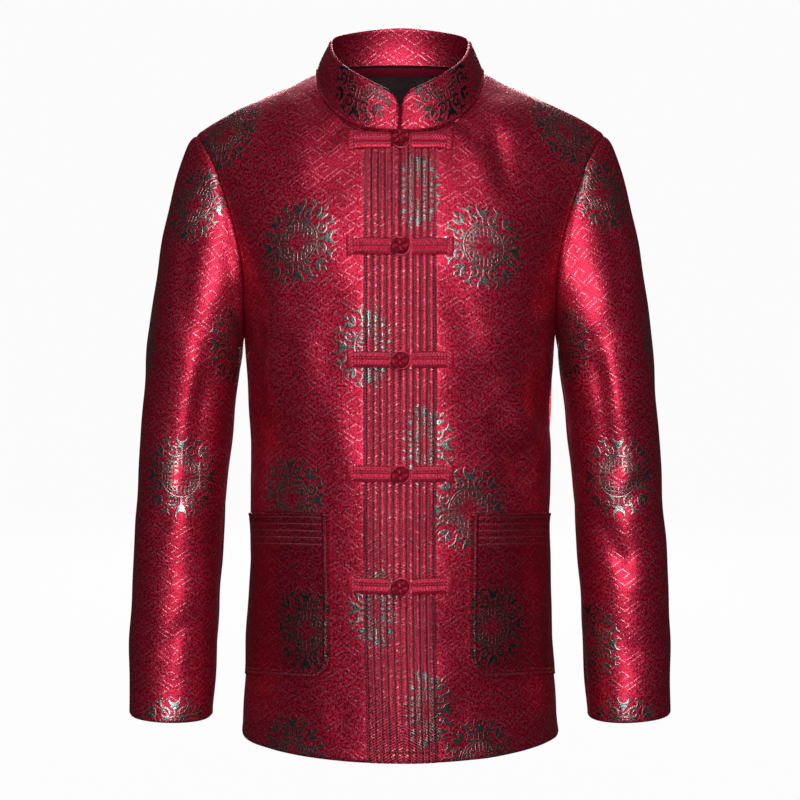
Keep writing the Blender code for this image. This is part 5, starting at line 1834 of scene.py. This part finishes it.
# The knots and loops: steps of the grids, radii, and the swing of the braid.
RIGHT = np.array([1.0, 0.0, 0.0])
KNOT_SIDES, KNOT_STEPS = 14, 420
KNOT_CORE, KNOT_CORD, KNOT_BALL = 0.0058, 0.0028, 0.0066
KNOT_TILT, KNOT_SWING = np.radians(58.0), np.radians(38.0)
KNOT_WEAVE, KNOT_TWIST = 0.0011, 0.25
KNOT_FLATTEN = 0.84
KNOT_HEIGHT = 0.0078
CORE_RINGS, CORE_SIDES, CORE_POLE = 20, 28, 0.002
LOOP_STEPS, LOOP_SIDES = 120, 12
LOOP_RADIUS = 0.0091
LOOP_CORD = 0.0013
LOOP_SHIFT = 0.0012


def on_ball(tilt, around):
    """Points of a ball of radius 1 at the angles from its axis and round it."""
    tilt, around = np.broadcast_arrays(tilt, around)
    flat = np.sin(tilt)
    return np.stack([flat * np.cos(around), flat * np.sin(around), np.cos(tilt)], axis=-1)


def knot_path():
    """A three-lead, four-bight braid on a ball: going twice round, the angle from the
    ball's outward axis swings four times, and the cord rises and dips at each crossing."""
    t = np.linspace(0.0, 4 * np.pi, KNOT_STEPS, endpoint=False)
    reach = KNOT_BALL + KNOT_WEAVE * np.sin(4 * t)
    points = on_ball(KNOT_TILT + KNOT_SWING * np.cos(2 * t), t + KNOT_TWIST * np.sin(2 * t))
    return points * reach[:, None], points


def cord_piece(context, name, points, faces, uv):
    """A piece of cord, whose balls' poles are closed."""
    mesh = fill_mesh(f"{name}_cord", points, faces, {"cloth": uv})
    shape = bmesh.new()
    shape.from_mesh(mesh)
    open_edges = [edge for edge in shape.edges if edge.is_boundary]
    if open_edges:
        bmesh.ops.holes_fill(shape, edges=open_edges, sides=0)
    bmesh.ops.recalc_face_normals(shape, faces=shape.faces)
    shape.to_mesh(mesh)
    shape.free()
    add_piece(mesh, finishes_of(context, "cord"), name)


def make_knot(context, name, centre, away):
    """A ball knot of braided cord over a round core, its axis pointing out of the front."""
    cord = tube(*knot_path(), KNOT_CORD, KNOT_SIDES).reshape(-1, 3)
    tilt = np.linspace(CORE_POLE, np.pi - CORE_POLE, CORE_RINGS)[:, None]
    around = np.linspace(0.0, 2 * np.pi, CORE_SIDES, endpoint=False)
    core = (on_ball(tilt, around) * KNOT_CORE).reshape(-1, 3)
    index = len(cord) + np.arange(len(core)).reshape(CORE_RINGS, CORE_SIDES)
    core_faces = corner_values(index, closed=True).reshape(-1, 4)[:, ::-1]
    faces = np.vstack((cord_faces(KNOT_STEPS, KNOT_SIDES), core_faces))
    points = np.vstack((cord, core))
    axes = np.stack((RIGHT, np.cross(away, RIGHT), away))
    placed = (points * np.array([1.0, 1.0, KNOT_FLATTEN])) @ axes + centre
    cord_piece(context, name, placed, faces, points[faces][..., :2])


def make_loop(context, name, centre, away):
    """The cord loop round the foot of the knot: a circle of cord that lies on the front."""
    turn = np.linspace(0.0, 2 * np.pi, LOOP_STEPS, endpoint=False)[:, None]
    path = np.cos(turn) * RIGHT + np.sin(turn) * np.cross(away, RIGHT)
    path = centre + LOOP_RADIUS * path
    normals = np.tile(away, (LOOP_STEPS, 1))
    points = tube(path, normals, LOOP_CORD, LOOP_SIDES).reshape(-1, 3)
    faces = cord_faces(LOOP_STEPS, LOOP_SIDES)
    cord_piece(context, name, points, faces, (points[faces] - centre)[..., [0, 2]])


def make_frogs(context):
    """Five frog closures: loop strap on the right front, knot strap on the left."""
    upright = np.array([0.0, 1.0, 1.0])
    lift = context.scene.jacket_cut.tuck_height + FROG_LIFT
    for number, z in enumerate(FROG_LEVELS, start=1):
        found = grid_read(panel_stack(1, "plain"), np.array([0.0]), np.array([[z]]))[0, 0]
        seat, away = found[:3] * upright, unit(found[3:6] * upright)
        name = f"frog_{number}"
        make_knot(context, f"{name}_knot", seat + away * (lift + KNOT_HEIGHT), away)
        ring = seat + away * (lift + LOOP_CORD) + LOOP_SHIFT * RIGHT
        make_loop(context, f"{name}_loop", ring, away)
        make_strap(context, f"{name}_loop_strap", -1, LOOP_STRAP_START, z)
        make_strap(context, f"{name}_knot_strap", 1, KNOT_STRAP_START, z)


# Stage

TARGET = (0.0, 0.0, -0.3577)
SENSOR_MM = 36.0
FLOOR_Z = -0.90
FLOOR_SIZE = 30.0
FLOOR_ROUGH, FLOOR_TINT = 0.9, 0.01
Lamp = namedtuple("Lamp", "name x y z width height watts")
LAMPS = (
    Lamp("front_softbox", 0.0, -2.6, 0.02, 0.55, 1.7, 56.0),
    Lamp("high_softbox", 0.0, -1.5, 1.5, 1.2, 0.8, 11.0),
    Lamp("left_strip", 1.5, -1.9, 0.2, 0.3, 1.5, 0.7),
    Lamp("right_strip", -1.5, -1.9, 0.2, 0.3, 1.5, 0.7),
    Lamp("back_softbox", 0.0, 2.5, 0.6, 1.1, 1.9, 80.0),
    Lamp("back_high_softbox", 0.0, 1.4, 1.5, 1.2, 0.6, 12.0),
)


def floor_material(colours):
    """Plain pale floor that glows a little, so that it reads as evenly lit."""
    glow = {
        "Roughness": FLOOR_ROUGH,
        "Specular IOR Level": 0.0,
        "Base Color": rgba(colours.floor, FLOOR_TINT),
        "Emission Color": rgba(colours.floor),
        "Emission Strength": 1.0,
    }
    return Paint("floor_pale", glow).material


def make_stage(context):
    """Pale floor, soft lights and a camera at the photograph's angle."""
    scene, studio = context.scene, context.scene.jacket_studio
    corners = np.array([[-1.0, -1.0], [1.0, -1.0], [1.0, 1.0], [-1.0, 1.0]]) * FLOOR_SIZE / 2
    points = np.column_stack((corners, np.full(4, FLOOR_Z)))
    mesh = fill_mesh("floor", points, np.array([[0, 1, 2, 3]]), {})
    mesh.materials.append(floor_material(context.scene.jacket_colours))
    floor = bpy.data.objects.new("floor", mesh)
    scene.collection.objects.link(floor)
    floor.visible_diffuse = False
    floor.visible_glossy = False
    floor.visible_shadow = False

    target = np.array(TARGET)
    for lamp in LAMPS:
        light = bpy.data.lights.new(lamp.name, "AREA")
        light.shape = "RECTANGLE"
        light.size, light.size_y = lamp.width, lamp.height
        light.energy = lamp.watts * studio.light
        holder = bpy.data.objects.new(lamp.name, light)
        holder.location = (lamp.x, lamp.y, lamp.z)
        holder.rotation_euler = look_angles(target - np.array(holder.location))
        holder.visible_camera = False
        scene.collection.objects.link(holder)

    world = bpy.data.worlds.new("studio")
    world.use_nodes = True
    tree = world.node_tree
    dim = tree.nodes["Background"]
    dim.inputs["Color"].default_value = (1.0, 1.0, 1.0, 1.0)
    dim.inputs["Strength"].default_value = studio.surround
    pale = tree.nodes.new("ShaderNodeBackground")
    pale.inputs["Color"].default_value = rgba(scene.jacket_colours.floor)
    rays = tree.nodes.new("ShaderNodeLightPath")
    mix = tree.nodes.new("ShaderNodeMixShader")
    tree.links.new(rays.outputs["Is Camera Ray"], mix.inputs["Fac"])
    tree.links.new(dim.outputs[0], mix.inputs[1])
    tree.links.new(pale.outputs[0], mix.inputs[2])
    tree.links.new(mix.outputs[0], tree.nodes["World Output"].inputs["Surface"])
    scene.world = world
    scene.view_settings.view_transform = "Standard"

    camera = bpy.data.cameras.new("camera")
    camera.sensor_width = SENSOR_MM
    camera.lens = SENSOR_MM * studio.camera_distance / studio.view_width
    rise = studio.camera_rise
    holder = bpy.data.objects.new("camera", camera)
    back = np.array([0.0, -np.cos(rise), np.sin(rise)])
    holder.location = tuple(target + back * studio.camera_distance)
    holder.rotation_euler = look_angles(-back)
    scene.collection.objects.link(holder)
    scene.camera = holder


def look_angles(way):
    """Euler angles that turn a camera or light from straight down to a direction."""
    flat = float(np.hypot(way[0], way[1]))
    return (float(np.arctan2(flat, -way[2])), 0.0, float(np.arctan2(-way[0], way[1])))


class JACKET_OT_fronts(bpy.types.Operator):
    """Two brocade fronts with pin tucks"""

    bl_idname = "jacket.fronts"
    bl_label = "Fronts"

    def execute(self, context):
        make_fronts(context)
        return {"FINISHED"}


class JACKET_OT_back(bpy.types.Operator):
    """The back and the facing in its neck"""

    bl_idname = "jacket.back"
    bl_label = "Back and Neck Facing"

    def execute(self, context):
        make_back(context)
        return {"FINISHED"}


class JACKET_OT_sleeves(bpy.types.Operator):
    """Two set-in sleeves"""

    bl_idname = "jacket.sleeves"
    bl_label = "Sleeves"

    def execute(self, context):
        make_sleeves(context)
        return {"FINISHED"}


class JACKET_OT_collar(bpy.types.Operator):
    """The stand collar"""

    bl_idname = "jacket.collar"
    bl_label = "Collar"

    def execute(self, context):
        make_collar(context)
        return {"FINISHED"}


class JACKET_OT_pockets(bpy.types.Operator):
    """Two patch pockets on the fronts"""

    bl_idname = "jacket.pockets"
    bl_label = "Pockets"

    def execute(self, context):
        if not PANELS:
            raise RuntimeError("make the fronts before the pockets")
        make_pockets(context)
        return {"FINISHED"}


class JACKET_OT_frogs(bpy.types.Operator):
    """Five frog closures on the fronts"""

    bl_idname = "jacket.frogs"
    bl_label = "Frogs"

    def execute(self, context):
        if not PANELS:
            raise RuntimeError("make the fronts before the frogs")
        make_frogs(context)
        return {"FINISHED"}


class JACKET_OT_stage(bpy.types.Operator):
    """Floor, lights and camera"""

    bl_idname = "jacket.stage"
    bl_label = "Stage"

    def execute(self, context):
        make_stage(context)
        return {"FINISHED"}


class JACKET_PT_panel(bpy.types.Panel):
    """Sidebar panel that lists the jacket's pieces and sizes"""

    bl_idname = "JACKET_PT_panel"
    bl_label = "Mandarin Collar Jacket"
    bl_space_type = "VIEW_3D"
    bl_region_type = "UI"
    bl_category = "Jacket"

    def draw(self, context):
        layout = self.layout
        for name, kind in GROUPS.items():
            box = layout.box()
            for setting in kind.__annotations__:
                box.prop(getattr(context.scene, name), setting)
        for operator in OPERATORS:
            layout.operator(operator.bl_idname)


OPERATORS = (
    JACKET_OT_fronts,
    JACKET_OT_back,
    JACKET_OT_sleeves,
    JACKET_OT_collar,
    JACKET_OT_pockets,
    JACKET_OT_frogs,
    JACKET_OT_stage,
)
GROUPS = {
    "jacket_cut": JACKET_PG_cut,
    "jacket_colours": JACKET_PG_colours,
    "jacket_studio": JACKET_PG_studio,
}


def register():
    """Register the classes and hang the groups on the scene."""
    for kind in (*GROUPS.values(), *OPERATORS, JACKET_PT_panel):
        bpy.utils.register_class(kind)
    for name, group in GROUPS.items():
        setattr(bpy.types.Scene, name, bpy.props.PointerProperty(type=group))


def unregister():
    """Take the groups and the classes out again."""
    for name in GROUPS:
        delattr(bpy.types.Scene, name)
    for kind in (JACKET_PT_panel, *reversed(OPERATORS), *reversed(GROUPS.values())):
        bpy.utils.unregister_class(kind)


def main():
    """Make the jacket and its stage."""
    register()
    for operator in OPERATORS:
        group, name = operator.bl_idname.split(".")
        getattr(getattr(bpy.ops, group), name)()


if __name__ == "__main__":
    main()
